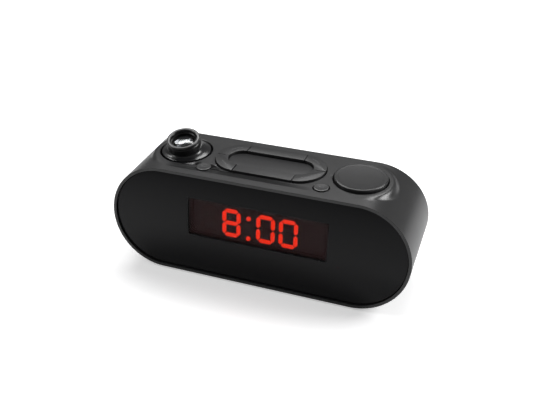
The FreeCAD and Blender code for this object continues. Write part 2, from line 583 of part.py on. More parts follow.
def make_keys():
    """Ring keys, snooze bar, round buttons, guide plate, board, switches and plungers."""
    centre = ("0", "control_y")
    diagonal = "stem_ring * cos(45)"
    out = f"key_well_half + {diagonal}"
    stems = {
        "rear_left": (f"-({out})", f"control_y + {diagonal}"),
        "front_left": (f"-({out})", f"control_y - {diagonal}"),
        "rear_right": (out, f"control_y + {diagonal}"),
        "front_right": (out, f"control_y - {diagonal}"),
        "rear": ("0", "control_y + stem_ring"),
    }
    gap = "bar_gap / 2"
    far = "key_well_length"
    fields = {
        "rear_left": (f"-{far}", f"-split_x - {gap}", f"control_y + {gap}", f"control_y + {far}"),
        "front_left": (f"-{far}", f"-split_x - {gap}", f"control_y - {far}", f"control_y - {gap}"),
        "rear_right": (f"split_x + {gap}", far, f"control_y + {gap}", f"control_y + {far}"),
        "front_right": (f"split_x + {gap}", far, f"control_y - {far}", f"control_y - {gap}"),
        "rear": (f"-split_x + {gap}", f"split_x - {gap}", "control_y", f"control_y + {far}"),
    }
    spots = []
    for name, (west, east, south, north) in fields.items():
        outer = stadium(f"{name}_outer", "XY_Plane", "key_well_half", "ring_radius", "key_under", "key_top", centre)
        inner = stadium(f"{name}_inner", "XY_Plane", "bar_half", "ring_bore", "key_under - 1", "key_top + 1", centre)
        field = box(f"{name}_field", (west, east), (south, north), ("key_under - 1", "key_top + 1"))
        cap = common(f"{name}_cap", cut(f"{name}_ring", outer, inner), field)
        x, y = stems[name]
        stem = rod(f"{name}_stem", (x, y, "plunger_top"), "stem_radius", "key_under + 1 - plunger_top")
        node(fuse(f"{name}_key", cap, stem), f"{name}_key")
        plunger(f"{name}_plunger", x, y)
        spots.append((x, y))

    long_part = stadium("bar_long", "XY_Plane", "bar_half", "bar_radius", "key_under", "key_top", centre)
    outline = stadium("bar_outline", "XY_Plane", "key_well_half", "ring_radius", "key_under", "key_top", centre)
    strip = common("bar_strip", outline, box("bar_field", (f"-split_x + {gap}", f"split_x - {gap}"),
                                             (f"control_y - {far}", "control_y"), ("key_under - 1", "key_top + 1")))
    slope = doc.addObject("Part::Box", "bar_slope")
    for prop in ("Length", "Width"):
        bind(slope, prop, "2 * key_well_length")
    bind(slope, "Height", "4 * key_rise + bar_drop")
    fall = (Vector(1, 0, 0), "-atan(bar_drop / (ring_radius + bar_radius))")
    place(slope, ("-key_well_length", "control_y - ring_radius", "key_top"), fall)
    stem_spots = [("-stem_x", "control_y"), ("stem_x", "control_y")]
    bar_stems = [rod(f"bar_stem_{index}", (x, y, "plunger_top"), "stem_radius", "key_under + 1 - plunger_top")
                 for index, (x, y) in enumerate(stem_spots, start=1)]
    node(fuse("snooze_bar", cut("bar_top", fuse("bar_whole", long_part, strip), slope), *bar_stems), "snooze_bar")
    for index, (x, y) in enumerate(stem_spots, start=1):
        plunger(f"snooze_plunger_{index}", x, y)
        spots.append((x, y))

    for side, (x, y) in zip(("left", "right"), ROUND_SPOTS):
        flange_top = "top_height - shell_wall - fit_gap"
        cap = rod(f"{side}_round_cap", (x, y, flange_top), "round_radius", f"top_height + round_rise - ({flange_top})")
        flange = rod(f"{side}_round_flange", (x, y, f"{flange_top} - round_flange"), "round_radius + round_gap * 3",
                     "round_flange")
        stem = rod(f"{side}_round_stem", (x, y, "plunger_top"), "stem_radius", f"{flange_top} - plunger_top")
        node(fuse(f"{side}_round_button", cap, flange, stem), f"{side}_round_button")
        plunger(f"{side}_round_plunger", x, y)
        spots.append((x, y))

    tray = stadium("guide_block", "XY_Plane", "key_well_half", "key_well_radius + guide_margin", "guide_under",
                   "top_height - shell_wall", centre)
    hollow = stadium("guide_hollow", "XY_Plane", "key_well_half", "key_well_radius", "guide_top",
                     "top_height", centre)
    holes = [rod(f"guide_hole_{index}", (x, y, "guide_under - 1"), "stem_radius + run_gap", "guide_thick + 2")
             for index, (x, y) in enumerate(spots[:7], start=1)]
    node(cut("key_guide", tray, hollow, *holes), "key_guide")

    board = box("key_board_blank", ("-key_board_width / 2", "key_board_width / 2"),
                ("-key_board_front", "key_board_back"), ("board_under", "board_top"))
    drills = [rod(f"board_drill_{index}", (x, y, "board_under - 1"), "screw_radius + run_gap", "board_thick + 2")
              for index, (x, y) in enumerate(BOARD_POSTS, start=1)]
    node(cut("key_board", board, *drills), "key_board")
    switches = [switch(f"switch_{index}", x, y) for index, (x, y) in enumerate(spots, start=1)]
    node(group("key_switches", switches), "key_switches")


def make_dial():
    """Dial, encoder with its bushing, shaft and small board."""
    dial_base = "well_base + dial_clearance"
    height = f"top_height + dial_rise - ({dial_base})"
    bore_top = f"top_height - ({dial_base})"
    hub_foot = f"well_under + bushing_rise + 2 * fit_gap - ({dial_base})"
    profile = [
        ("dial_radius - dial_wall", "0"), ("dial_radius", "0"), ("dial_radius", f"{height} - dial_chamfer"),
        ("dial_radius - dial_chamfer", height), ("dial_radius - dial_chamfer * 4", f"{height} - dial_chamfer / 3"),
        ("0", f"{height} - dial_chamfer / 3"), ("0", bore_top), ("shaft_radius", bore_top),
        ("shaft_radius", hub_foot), ("hub_radius", hub_foot), ("hub_radius", bore_top),
        ("dial_radius - dial_wall", bore_top),
    ]
    node(turned("dial", profile, (*RIGHT_AXIS, dial_base)), "dial")
    x, y = RIGHT_AXIS
    half = "encoder_width / 2"
    block = box("encoder_block", (f"{x} - {half}", f"{x} + {half}"), (f"{y} - {half}", f"{y} + {half}"),
                ("well_under - encoder_height", "well_under"))
    bushing = rod("encoder_bushing", (x, y, "well_under - 1"), "bushing_radius", "bushing_rise + 1")
    bore = rod("encoder_bore", (x, y, "well_under - shaft_depth - 2 * run_gap"), "shaft_radius + run_gap",
               "2 * encoder_height")
    node(cut("encoder", fuse("encoder_whole", block, bushing), bore), "encoder")
    node(rod("encoder_shaft", (x, y, "well_under - shaft_depth"), "shaft_radius",
             "top_height - well_under + shaft_depth"), "encoder_shaft")
    side = f"{half} + 2"
    node(box("encoder_board", (f"{x} - ({side})", f"{x} + {side}"), (f"{y} - ({side})", f"{y} + {side}"),
             ("well_under - encoder_height - board_thick", "well_under - encoder_height")), "encoder_board")


def skirt_ring(share):
    """Circle of the skirt's loft, from its foot at share 0 to its leaning collar at share 1."""
    obj = doc.addObject("Part::Circle", f"skirt_ring_{share * 100:.0f}")
    bind(obj, "Radius", f"barrel_radius + 0.2 + (skirt_radius - barrel_radius - 0.6) * {(1 - share) ** 1.8:.3f}")
    foot = "(top_height - 0.6)"
    collar = "(pivot_height + collar_top * cos(barrel_tilt))"
    spot = ("-platform_x", f"control_y - {share} * collar_top * sin(barrel_tilt)",
            f"{foot} + {share} * ({collar} - {foot})")
    return place(obj, spot, (Vector(1, 0, 0), f"{share} * barrel_tilt"))


def make_projector():
    """Swivelling turret, its retainer, focus ring, lens cell, lens, slide and lamp board."""
    skirt = doc.addObject("Part::Loft", "skirt")
    skirt.Sections = [skirt_ring(step / 4) for step in range(5)]
    skirt.Solid = True
    skirt.Ruled = True
    drum_base = "well_base + fit_gap"
    drum = rod("turret_drum", (*LEFT_AXIS, drum_base), "skirt_radius", f"top_height + 0.2 - ({drum_base})")
    neck = rod("turret_neck", (*LEFT_AXIS, "neck_under"), "neck_radius", f"{drum_base} + 1 - neck_under")
    neck_bore = rod("neck_bore", (*LEFT_AXIS, "neck_under - 1"), "neck_radius - neck_wall",
                    "pivot_height - 1.5 - neck_under + 1")
    light_path = rod("light_path", on_barrel("-4"), "optic_bore - 2", "barrel_reach", BARREL)
    optic_seat = rod("optic_seat", on_barrel("slide_seat"), "optic_bore", "barrel_reach", BARREL)
    body = fuse("turret_whole", skirt, drum, neck)
    node(cut("turret", body, neck_bore, light_path, optic_seat), "turret")
    retainer = cut("retainer", rod("retainer_disc", (*LEFT_AXIS, "neck_under"), "retainer_radius",
                                   "neck_drop - fit_gap"),
                   rod("retainer_bore", (*LEFT_AXIS, "neck_under - 1"), "neck_radius + run_gap / 2", "neck_drop + 2"))
    node(retainer, "turret_retainer")
    lamp_board = rod("lamp_disc", (*LEFT_AXIS, "neck_under - board_thick"), "neck_radius", "board_thick")
    lamp = rod("lamp_dome", (*LEFT_AXIS, "neck_under"), "lamp_radius", "lamp_height")
    node(fuse("lamp_board", lamp_board, lamp), "lamp_board")
    slide = doc.addObject("Part::Box", "picture_slide")
    bind(slide, "Length", "slide_side")
    bind(slide, "Width", "slide_side")
    bind(slide, "Height", "slide_thick")
    corner = ("-platform_x - slide_side / 2",
              "control_y - slide_seat * sin(barrel_tilt) - slide_side / 2 * cos(barrel_tilt)",
              "pivot_height + slide_seat * cos(barrel_tilt) - slide_side / 2 * sin(barrel_tilt)")
    node(place(slide, corner, BARREL), "picture_slide")

    sleeve_bore = "sleeve_radius - sleeve_wall"
    ring_top = "sleeve_length + barrel_length"
    shoulder = f"{ring_top} - mouth_depth"
    profile = [
        (sleeve_bore, "0"), ("sleeve_radius", "0"), ("sleeve_radius", "sleeve_length"),
        ("barrel_radius", "sleeve_length"), ("barrel_radius", f"{ring_top} - ring_round"),
        ("barrel_radius - ring_round", ring_top), ("barrel_bore + mouth_flare", ring_top),
        ("barrel_bore", f"{ring_top} - mouth_flare"),
        ("barrel_bore", shoulder), (sleeve_bore, shoulder),
    ]
    node(turned("focus_ring", profile, on_barrel("barrel_base - sleeve_length"), BARREL), "focus_ring")
    cell_bore = "objective_radius - cell_wall"
    neck = "cell_length - cell_lip"
    cell = [
        (cell_bore, "0"), ("cell_radius", "0"), ("cell_radius", neck), ("cell_flange", neck),
        ("cell_flange", "cell_length"), (cell_bore, "cell_length"),
    ]
    node(turned("lens_cell", cell, on_barrel("cell_top - cell_length"), BARREL), "lens_cell")
    glass = [
        ("0", "0"), ("objective_radius", "0"), ("objective_radius", "objective_thick / 2"),
        ("objective_radius * 0.7", "objective_thick * 0.9"), ("0", "objective_thick"),
    ]
    node(turned("projection_lens", glass, on_barrel("cell_top"), BARREL), "projection_lens")


def make_rear():
    """Rear cover, its door, battery tray and cell, speaker, socket, grommet and screws."""
    cover_bar = stadium("cover_bar", "XZ_Plane", "shell_end", "shell_bore - run_gap * 2", "cover_front",
                        "cover_back", MIDDLE)
    out = "cover_front - 1"
    through = "cover_thick + 2"
    holes = []
    for step in range(-4, 5):
        height = f"axis_height + {step} * slot_pitch"
        reach = f"sqrt((speaker_radius - 2) ^ 2 - ({step} * slot_pitch) ^ 2)"
        holes.append(box(f"slot_{step + 5}", (f"speaker_x - {reach}", f"speaker_x + {reach}"),
                         (out, "half_depth"), (f"{height} - slot_width / 2", f"{height} + slot_width / 2")))
    door_x = ("door_x - door_width / 2", "door_x + door_width / 2")
    holes.append(box("door_hole", (f"{door_x[0]} - door_gap", f"{door_x[1]} + door_gap"), (out, "half_depth"),
                     ("door_base - door_gap", "door_base + door_height + door_gap")))
    holes.append(rod("pin_hole", (f"{door_x[0]} - pin_length - 0.2", "hinge_y", "hinge_height"),
                     "pin_radius + run_gap / 2", "door_width + 2 * pin_length + 0.4", TO_RIGHT))
    holes.append(rod("jack_hole", ("jack_x", out, "jack_axis"), "jack_bore + 1", through, TO_BACK))
    holes.append(rod("grommet_hole", ("grommet_x", out, "jack_axis"), "grommet_radius + run_gap / 2", through, TO_BACK))
    for index, (x, z) in enumerate(COVER_SCREWS, start=1):
        holes.append(rod(f"screw_hole_{index}", (x, out, z), "screw_radius + run_gap", through, TO_BACK))
        holes.append(rod(f"head_hole_{index}", (x, "cover_back - head_height", z), "head_radius + run_gap",
                         "head_height + 1", TO_BACK))
    node(cut("rear_cover", cover_bar, *holes), "rear_cover")

    panel = box("door_panel", door_x, ("cover_back - door_thick", "cover_back"),
                ("hinge_height", "door_base + door_height"))
    barrel = rod("door_barrel", (door_x[0], "hinge_y", "hinge_height"), "hinge_radius", "door_width", TO_RIGHT)
    pins = rod("door_pins", (f"{door_x[0]} - pin_length", "hinge_y", "hinge_height"), "pin_radius",
               "door_width + 2 * pin_length", TO_RIGHT)
    node(fuse("battery_door", panel, barrel, pins), "battery_door")

    tray_x = (f"{door_x[0]} - 4", f"{door_x[1]} + 4")
    tray_z = ("door_base - 2", "door_base + door_height + 2")
    tray_front = "cover_front - tray_depth"
    tray = box("tray_block", tray_x, (tray_front, "cover_front"), tray_z)
    room = box("tray_room", (f"{tray_x[0]} + tray_wall", f"{tray_x[1]} - tray_wall"),
               (f"{tray_front} + tray_wall", "cover_front + 1"), (f"{tray_z[0]} + tray_wall", f"{tray_z[1]} - tray_wall"))
    node(cut("battery_tray", tray, room), "battery_tray")
    node(rod("coin_cell", ("door_x", f"{tray_front} + tray_wall", "axis_height"), "coin_radius", "coin_height",
             TO_BACK), "coin_cell")

    spot = ("speaker_x", "cover_front - speaker_depth", "axis_height")
    frame = [
        ("magnet_radius", "magnet_height"), ("magnet_radius + 2", "magnet_height"),
        ("speaker_radius", "speaker_depth - 2"), ("speaker_radius", "speaker_depth"),
        ("speaker_radius - 1.4", "speaker_depth"), ("speaker_radius - 1.4", "speaker_depth - 1.6"),
        ("magnet_radius", "magnet_height + 1.2"),
        ("4", "magnet_height + 1.2"), ("4", "magnet_height"),
    ]
    node(turned("speaker_frame", frame, spot, TO_BACK), "speaker_frame")
    node(rod("speaker_magnet", spot, "magnet_radius", "magnet_height", TO_BACK), "speaker_magnet")
    cone_edge = "speaker_radius - 1.6"
    cone = [
        ("0", "magnet_height + 1.2"), ("4", "magnet_height + 1.2"), (cone_edge, "speaker_depth - 1.4"),
        (cone_edge, "speaker_depth - 0.8"), (f"{cone_edge} - 1.5", "speaker_depth - 0.8"),
        ("5", "magnet_height + 3.4"), ("0", "magnet_height + 4.4"),
    ]
    node(turned("speaker_cone", cone, spot, TO_BACK), "speaker_cone")

    jack_front = "cover_front - jack_length"
    shell = box("jack_block", ("jack_x - jack_width / 2", "jack_x + jack_width / 2"), (jack_front, "cover_front"),
                ("main_board_top", "main_board_top + jack_height"))
    bore = rod("jack_hollow", ("jack_x", f"{jack_front} + 3", "jack_axis"), "jack_bore", "jack_length", TO_BACK)
    pin = rod("jack_pin_rod", ("jack_x", f"{jack_front} + 2", "jack_axis"), "jack_pin", "jack_length - 3", TO_BACK)
    node(fuse("power_socket", cut("jack_shell", shell, bore), pin), "power_socket")
    collar = [
        ("grommet_bore", "0"), ("grommet_radius + 1", "0"), ("grommet_radius + 1", "1.5"),
        ("grommet_radius", "1.5"), ("grommet_radius", "1.5 + cover_thick"), ("grommet_bore", "1.5 + cover_thick"),
    ]
    node(turned("aerial_grommet", collar, ("grommet_x", "cover_front - 1.5", "jack_axis"), TO_BACK), "aerial_grommet")


def screw(name, spot, length, turn):
    """Screw whose head starts at the spot and whose shank runs on from it."""
    profile = [("0", "0"), ("head_radius", "0"), ("head_radius", "head_height"), ("screw_radius", "head_height"),
               ("screw_radius", length), ("0", length)]
    return turned(name, profile, spot, turn)


def make_inside():
    """Main board with its parts, screws and feet."""
    half = "main_board_width / 2"
    board = box("main_board_blank", (f"-{half}", half), ("main_board_back - main_board_depth", "main_board_back"),
                ("main_board_under", "main_board_top"))
    drills = [rod(f"main_drill_{index}", (x, y, "main_board_under - 1"), "screw_radius + run_gap", "board_thick + 2")
              for index, (x, y) in enumerate(MAIN_POSTS, start=1)]
    node(cut("main_board", board, *drills), "main_board")
    chip_y = "main_board_back - main_board_depth / 2"
    node(box("main_chip", ("-chip_side * 2", "-chip_side"), (f"{chip_y} - chip_side / 2", f"{chip_y} + chip_side / 2"),
             ("main_board_top", "main_board_top + chip_height")), "main_chip")
    cans = [rod(f"can_{step}", (f"jack_x + jack_width + {step} * can_radius * 2.4", chip_y, "main_board_top"),
                "can_radius", "can_height") for step in range(3)]
    node(group("capacitors", cans), "capacitors")
    heads = [screw(f"cover_screw_{index}", (x, "cover_back", z), "head_height + 7", (Vector(1, 0, 0), "90"))
             for index, (x, z) in enumerate(COVER_SCREWS, start=1)]
    node(group("cover_screws", heads), "cover_screws")
    top_screws = [screw(f"key_screw_{index}", (x, y, "board_under - head_height"), "head_height + board_thick + 6",
                        UPRIGHT) for index, (x, y) in enumerate(BOARD_POSTS, start=1)]
    low_screws = [screw(f"main_screw_{index}", (x, y, "main_board_top + head_height"),
                        "head_height + board_thick + main_board_rise - 1", (Vector(1, 0, 0), "180"))
                  for index, (x, y) in enumerate(MAIN_POSTS, start=1)]
    node(group("board_screws", top_screws + low_screws), "board_screws")
    for index, (x, y) in enumerate(FEET, start=1):
        top = "foot_stand + foot_socket"
        profile = [("0", "0"), ("foot_radius - 0.6", "0"), ("foot_radius", "0.6"), ("foot_radius", top), ("0", top)]
        node(turned(f"foot_{index}", profile, (x, y, "0")), f"foot_{index}")


def check_and_write():
    """Check every object and write each sub-part to its own file."""
    doc.recompute()
    for obj in doc.Objects:
        if "Invalid" in obj.State or "Error" in obj.State:
            raise RuntimeError(f"{obj.Name} failed: {obj.State}")
    for obj in NODES:
        if obj.Shape.isNull() or not obj.Shape.isValid() or not obj.Shape.Solids:
            raise RuntimeError(f"{obj.Label} has no valid solid")
    for obj in NODES:
        obj.Shape.exportStep(f"parts/{obj.Label}.step")
        size = obj.Shape.BoundBox
        print(f"{obj.Label}: {len(obj.Shape.Solids)} solids, {size.XLength:.2f} x {size.YLength:.2f} x "
              f"{size.ZLength:.2f} mm, volume {obj.Shape.Volume:.1f}")


make_housing()
make_face()
make_digits()
make_keys()
make_dial()
make_projector()
make_rear()
make_inside()
check_and_write()
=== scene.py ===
"""Looks of the projection alarm clock: moulded housing, dark face, keys, dial, projector and rear side.

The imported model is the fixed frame. Every new piece is modelled in metres where that frame says, with +Z up
and the display face towards -Y, and rides on the body that it belongs to.
"""
from __future__ import annotations

import json
import logging
import math
from dataclasses import dataclass, field
from enum import Enum
from typing import Callable, Iterable, Sequence

import bmesh
import bpy
from mathutils import Matrix, Vector

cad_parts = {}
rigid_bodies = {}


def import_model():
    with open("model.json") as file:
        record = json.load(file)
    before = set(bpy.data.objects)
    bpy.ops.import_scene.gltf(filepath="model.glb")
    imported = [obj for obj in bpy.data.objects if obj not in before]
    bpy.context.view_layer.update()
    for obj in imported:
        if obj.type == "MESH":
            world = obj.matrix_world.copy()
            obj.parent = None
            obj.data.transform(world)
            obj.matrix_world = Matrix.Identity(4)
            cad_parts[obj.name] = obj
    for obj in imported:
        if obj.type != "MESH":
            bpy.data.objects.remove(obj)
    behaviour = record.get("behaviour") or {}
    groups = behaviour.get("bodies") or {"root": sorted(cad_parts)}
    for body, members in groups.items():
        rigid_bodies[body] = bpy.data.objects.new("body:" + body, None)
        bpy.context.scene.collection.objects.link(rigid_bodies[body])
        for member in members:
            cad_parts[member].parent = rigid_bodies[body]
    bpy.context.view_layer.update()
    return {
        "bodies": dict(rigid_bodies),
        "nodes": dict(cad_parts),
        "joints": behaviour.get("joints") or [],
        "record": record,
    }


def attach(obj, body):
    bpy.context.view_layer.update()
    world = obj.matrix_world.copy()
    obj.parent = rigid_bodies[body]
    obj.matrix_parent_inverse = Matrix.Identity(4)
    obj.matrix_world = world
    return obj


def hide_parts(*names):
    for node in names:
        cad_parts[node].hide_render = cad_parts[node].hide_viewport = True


log = logging.getLogger("projection_clock")

MM = 0.001
DIRECT = ("operation", "data_type", "node_tree", "interpolation_type")
Point = tuple[float, float, float]
Colour = tuple[float, float, float]


class Along(Enum):
    """Direction that a block or a turned piece grows in."""

    UP = "up"
    BACK = "back"


class Cut(Enum):
    """What a boolean does with the second mesh."""

    REMOVE = "DIFFERENCE"
    ADD = "UNION"
    KEEP = "INTERSECT"


# Node groups and materials


class Weave:
    """Small builder for node trees, with a readable way to add and link nodes."""

    def __init__(self, tree: bpy.types.NodeTree) -> None:
        """Take the tree that the nodes go into."""
        self.tree = tree

    def add(self, kind: str, **values: object) -> bpy.types.Node:
        """Add a node.

        Args:
            kind: Node type, such as ShaderNodeTexNoise.
            **values: Settings of the node, or default values of sockets whose name has its spaces as _.

        Returns:
            The new node.
        """
        node = self.tree.nodes.new(kind)
        for name, value in values.items():
            socket = None if name in DIRECT else node.inputs.get(name.replace("_", " "))
            if socket is not None:
                socket.default_value = value
            else:
                setattr(node, name, value)
        return node

    def link(self, source: bpy.types.NodeSocket, target: bpy.types.NodeSocket) -> None:
        """Link one socket to another."""
        self.tree.links.new(source, target)


def new_group(name: str, inputs: dict[str, float], outputs: dict[str, str]) -> tuple[bpy.types.NodeTree, Weave]:
    """Make a shader node group with named inputs and outputs.

    Args:
        name: Name of the group.
        inputs: Float inputs and their usual values.
        outputs: Outputs and their socket types.

    Returns:
        The group and a builder for its nodes.
    """
    group = bpy.data.node_groups.new(name, "ShaderNodeTree")
    for label, value in inputs.items():
        socket = group.interface.new_socket(label, in_out="INPUT", socket_type="NodeSocketFloat")
        socket.default_value = value
    for label, kind in outputs.items():
        group.interface.new_socket(label, in_out="OUTPUT", socket_type=kind)
    return group, Weave(group)


def make_grain_group() -> bpy.types.NodeTree:
    """Fine moulded grain: a height for the bump and a slow change of roughness.

    Returns:
        The node group.
    """
    group, weave = new_group("moulded_grain", {"Size": 900.0, "Cloud": 40.0, "Rough": 0.45, "Spread": 0.08},
                             {"Height": "NodeSocketFloat", "Roughness": "NodeSocketFloat"})
    start = weave.add("NodeGroupInput")
    place = weave.add("ShaderNodeTexCoord")
    grain = weave.add("ShaderNodeTexNoise", Detail=3.0, Roughness=0.6)
    cloud = weave.add("ShaderNodeTexNoise", Detail=4.0, Roughness=0.55)
    centred = weave.add("ShaderNodeMath", operation="SUBTRACT")
    centred.inputs[1].default_value = 0.5
    spread = weave.add("ShaderNodeMath", operation="MULTIPLY")
    total = weave.add("ShaderNodeMath", operation="ADD")
    end = weave.add("NodeGroupOutput")
    weave.link(place.outputs["Object"], grain.inputs["Vector"])
    weave.link(place.outputs["Object"], cloud.inputs["Vector"])
    weave.link(start.outputs["Size"], grain.inputs["Scale"])
    weave.link(start.outputs["Cloud"], cloud.inputs["Scale"])
    weave.link(cloud.outputs["Fac"], centred.inputs[0])
    weave.link(centred.outputs[0], spread.inputs[0])
    weave.link(start.outputs["Spread"], spread.inputs[1])
    weave.link(spread.outputs[0], total.inputs[0])
    weave.link(start.outputs["Rough"], total.inputs[1])
    weave.link(grain.outputs["Fac"], end.inputs["Height"])
    weave.link(total.outputs[0], end.inputs["Roughness"])
    return group


def make_tone_group() -> bpy.types.NodeTree:
    """Slow change of tone over a surface, as a mask from 0 to 1.

    Returns:
        The node group.
    """
    group, weave = new_group("slow_tone", {"Size": 18.0}, {"Mask": "NodeSocketFloat"})
    start = weave.add("NodeGroupInput")
    place = weave.add("ShaderNodeTexCoord")
    noise = weave.add("ShaderNodeTexNoise", Detail=5.0, Roughness=0.5)
    spread = weave.add("ShaderNodeMapRange", From_Min=0.3, From_Max=0.7)
    end = weave.add("NodeGroupOutput")
    weave.link(place.outputs["Object"], noise.inputs["Vector"])
    weave.link(start.outputs["Size"], noise.inputs["Scale"])
    weave.link(noise.outputs["Fac"], spread.inputs["Value"])
    weave.link(spread.outputs["Result"], end.inputs["Mask"])
    return group


class Made:
    """Materials that are already built, by name."""

    _known: dict[str, bpy.types.Material] = {}

    @classmethod
    def fresh(cls, name: str) -> tuple[bpy.types.Material, bool]:
        """Give a material of that name.

        Args:
            name: Name of the finish.

        Returns:
            The material, and whether it still has to be built.
        """
        if name in cls._known:
            return cls._known[name], False
        cls._known[name] = bpy.data.materials.new(name + "_finish")
        cls._known[name].use_nodes = True
        return cls._known[name], True


class Groups:
    """Node groups that several finishes share, each built once."""

    _made: dict[str, bpy.types.NodeTree] = {}
    _makers: dict[str, Callable[[], bpy.types.NodeTree]] = {"grain": make_grain_group, "tone": make_tone_group}

    @classmethod
    def get(cls, name: str) -> bpy.types.NodeTree:
        """Give a group, building it the first time."""
        if name not in cls._made:
            cls._made[name] = cls._makers[name]()
        return cls._made[name]


@dataclass(frozen=True)
class Finish:
    """A moulded, painted or polished surface with fine grain and slow changes of tone."""

    name: str
    colour: Colour
    second: Colour
    rough: float = 0.45
    spread: float = 0.08
    grain: float = 900.0
    bump: float = 0.05
    metallic: float = 0.0
    specular: float = 0.5
    coat: float = 0.0
    coat_rough: float = 0.08
    glow: float = 0.0

    def build(self) -> bpy.types.Material:
        """Make the material.

        Returns:
            The finished material, made once for each name.
        """
        material, empty = Made.fresh(self.name)
        if not empty:
            return material
        weave = Weave(material.node_tree)
        shader = material.node_tree.nodes["Principled BSDF"]
        grain = weave.add("ShaderNodeGroup", node_tree=Groups.get("grain"))
        grain.inputs["Size"].default_value = self.grain
        grain.inputs["Rough"].default_value = self.rough
        grain.inputs["Spread"].default_value = self.spread
        tone = weave.add("ShaderNodeGroup", node_tree=Groups.get("tone"))
        mix = weave.add("ShaderNodeMix", data_type="RGBA")
        mix.inputs[6].default_value = (*self.colour, 1.0)
        mix.inputs[7].default_value = (*self.second, 1.0)
        bump = weave.add("ShaderNodeBump", Strength=self.bump, Distance=0.0002)
        weave.link(tone.outputs["Mask"], mix.inputs["Factor"])
        weave.link(mix.outputs[2], shader.inputs["Base Color"])
        weave.link(grain.outputs["Roughness"], shader.inputs["Roughness"])
        weave.link(grain.outputs["Height"], bump.inputs["Height"])
        weave.link(bump.outputs["Normal"], shader.inputs["Normal"])
        shader.inputs["Metallic"].default_value = self.metallic
        shader.inputs["Specular IOR Level"].default_value = self.specular
        shader.inputs["Coat Weight"].default_value = self.coat
        shader.inputs["Coat Roughness"].default_value = self.coat_rough
        if self.glow > 0.0:
            weave.link(mix.outputs[2], shader.inputs["Emission Color"])
            shader.inputs["Emission Strength"].default_value = self.glow
        return material


@dataclass(frozen=True)
class SmokedFace:
    """Polished black lens that lets some light through in its display window."""

    name: str = "smoked_lens"
    colour: Colour = (0.0072, 0.0073, 0.0080)
    clear: float = 0.80
    low: tuple[float, float] = (-0.0475, 0.0305)
    high: tuple[float, float] = (0.0495, 0.0575)
    soft: float = 0.0009

    def build(self) -> bpy.types.Material:
        """Make the material, with its window worked out from Object coordinates.

        Returns:
            The finished material.
        """
        material, empty = Made.fresh(self.name)
        if not empty:
            return material
        weave = Weave(material.node_tree)
        shader = material.node_tree.nodes["Principled BSDF"]
        place = weave.add("ShaderNodeTexCoord")
        split = weave.add("ShaderNodeSeparateXYZ")
        weave.link(place.outputs["Object"], split.inputs["Vector"])
        masks = []
        for axis, low, high in (("X", self.low[0], self.high[0]), ("Z", self.low[1], self.high[1])):
            for edge, way in ((low, 1.0), (high, -1.0)):
                ramp = weave.add("ShaderNodeMapRange", interpolation_type="SMOOTHSTEP")
                ramp.inputs["From Min"].default_value = edge - self.soft
                ramp.inputs["From Max"].default_value = edge + self.soft
                ramp.inputs["To Min"].default_value = 0.0 if way > 0.0 else 1.0
                ramp.inputs["To Max"].default_value = 1.0 if way > 0.0 else 0.0
                weave.link(split.outputs[axis], ramp.inputs["Value"])
                masks.append(ramp.outputs["Result"])
        window = masks[0]
        for mask in masks[1:]:
            both = weave.add("ShaderNodeMath", operation="MULTIPLY")
            weave.link(window, both.inputs[0])
            weave.link(mask, both.inputs[1])
            window = both.outputs[0]
        alpha = weave.add("ShaderNodeMapRange")
        alpha.inputs["To Min"].default_value = 1.0
        alpha.inputs["To Max"].default_value = 1.0 - self.clear
        weave.link(window, alpha.inputs["Value"])
        weave.link(alpha.outputs["Result"], shader.inputs["Alpha"])
        grain = weave.add("ShaderNodeGroup", node_tree=Groups.get("grain"))
        grain.inputs["Rough"].default_value = 0.12
        grain.inputs["Spread"].default_value = 0.05
        weave.link(grain.outputs["Roughness"], shader.inputs["Roughness"])
        shader.inputs["Base Color"].default_value = (*self.colour, 1.0)
        shader.inputs["Specular IOR Level"].default_value = 0.16
        return material


@dataclass(frozen=True)
class RedFilter:
    """Thin red film that tints what lies behind it and has a painted faint red glow of its own, though it is no lamp.
    """

    name: str = "window_red"
    colour: Colour = (0.05, 0.008, 0.008)
    cover: float = 0.22
    # Painted glow: strength of the faint red light that the film gives off, though it is no lamp.
    glow: float = 0.30

    def build(self) -> bpy.types.Material:
        """Make the material."""
        material, empty = Made.fresh(self.name)
        if not empty:
            return material
        weave = Weave(material.node_tree)
        shader = material.node_tree.nodes["Principled BSDF"]
        grain = weave.add("ShaderNodeGroup", node_tree=Groups.get("grain"))
        grain.inputs["Rough"].default_value = 0.5
        weave.link(grain.outputs["Roughness"], shader.inputs["Roughness"])
        shader.inputs["Base Color"].default_value = (*self.colour, 1.0)
        shader.inputs["Alpha"].default_value = self.cover
        # Painted glow: the film's own faint red emission.
        shader.inputs["Emission Color"].default_value = (*self.colour, 1.0)
        shader.inputs["Emission Strength"].default_value = self.glow
        return material


@dataclass(frozen=True)
class ClearLens:
    """Clear moulded lens."""

    name: str = "clear_lens"

    def build(self) -> bpy.types.Material:
        """Make the material."""
        material, empty = Made.fresh(self.name)
        if not empty:
            return material
        shader = material.node_tree.nodes["Principled BSDF"]
        shader.inputs["Base Color"].default_value = (0.96, 0.98, 1.0, 1.0)
        shader.inputs["Roughness"].default_value = 0.03
        shader.inputs["Transmission Weight"].default_value = 1.0
        shader.inputs["IOR"].default_value = 1.49
        return material


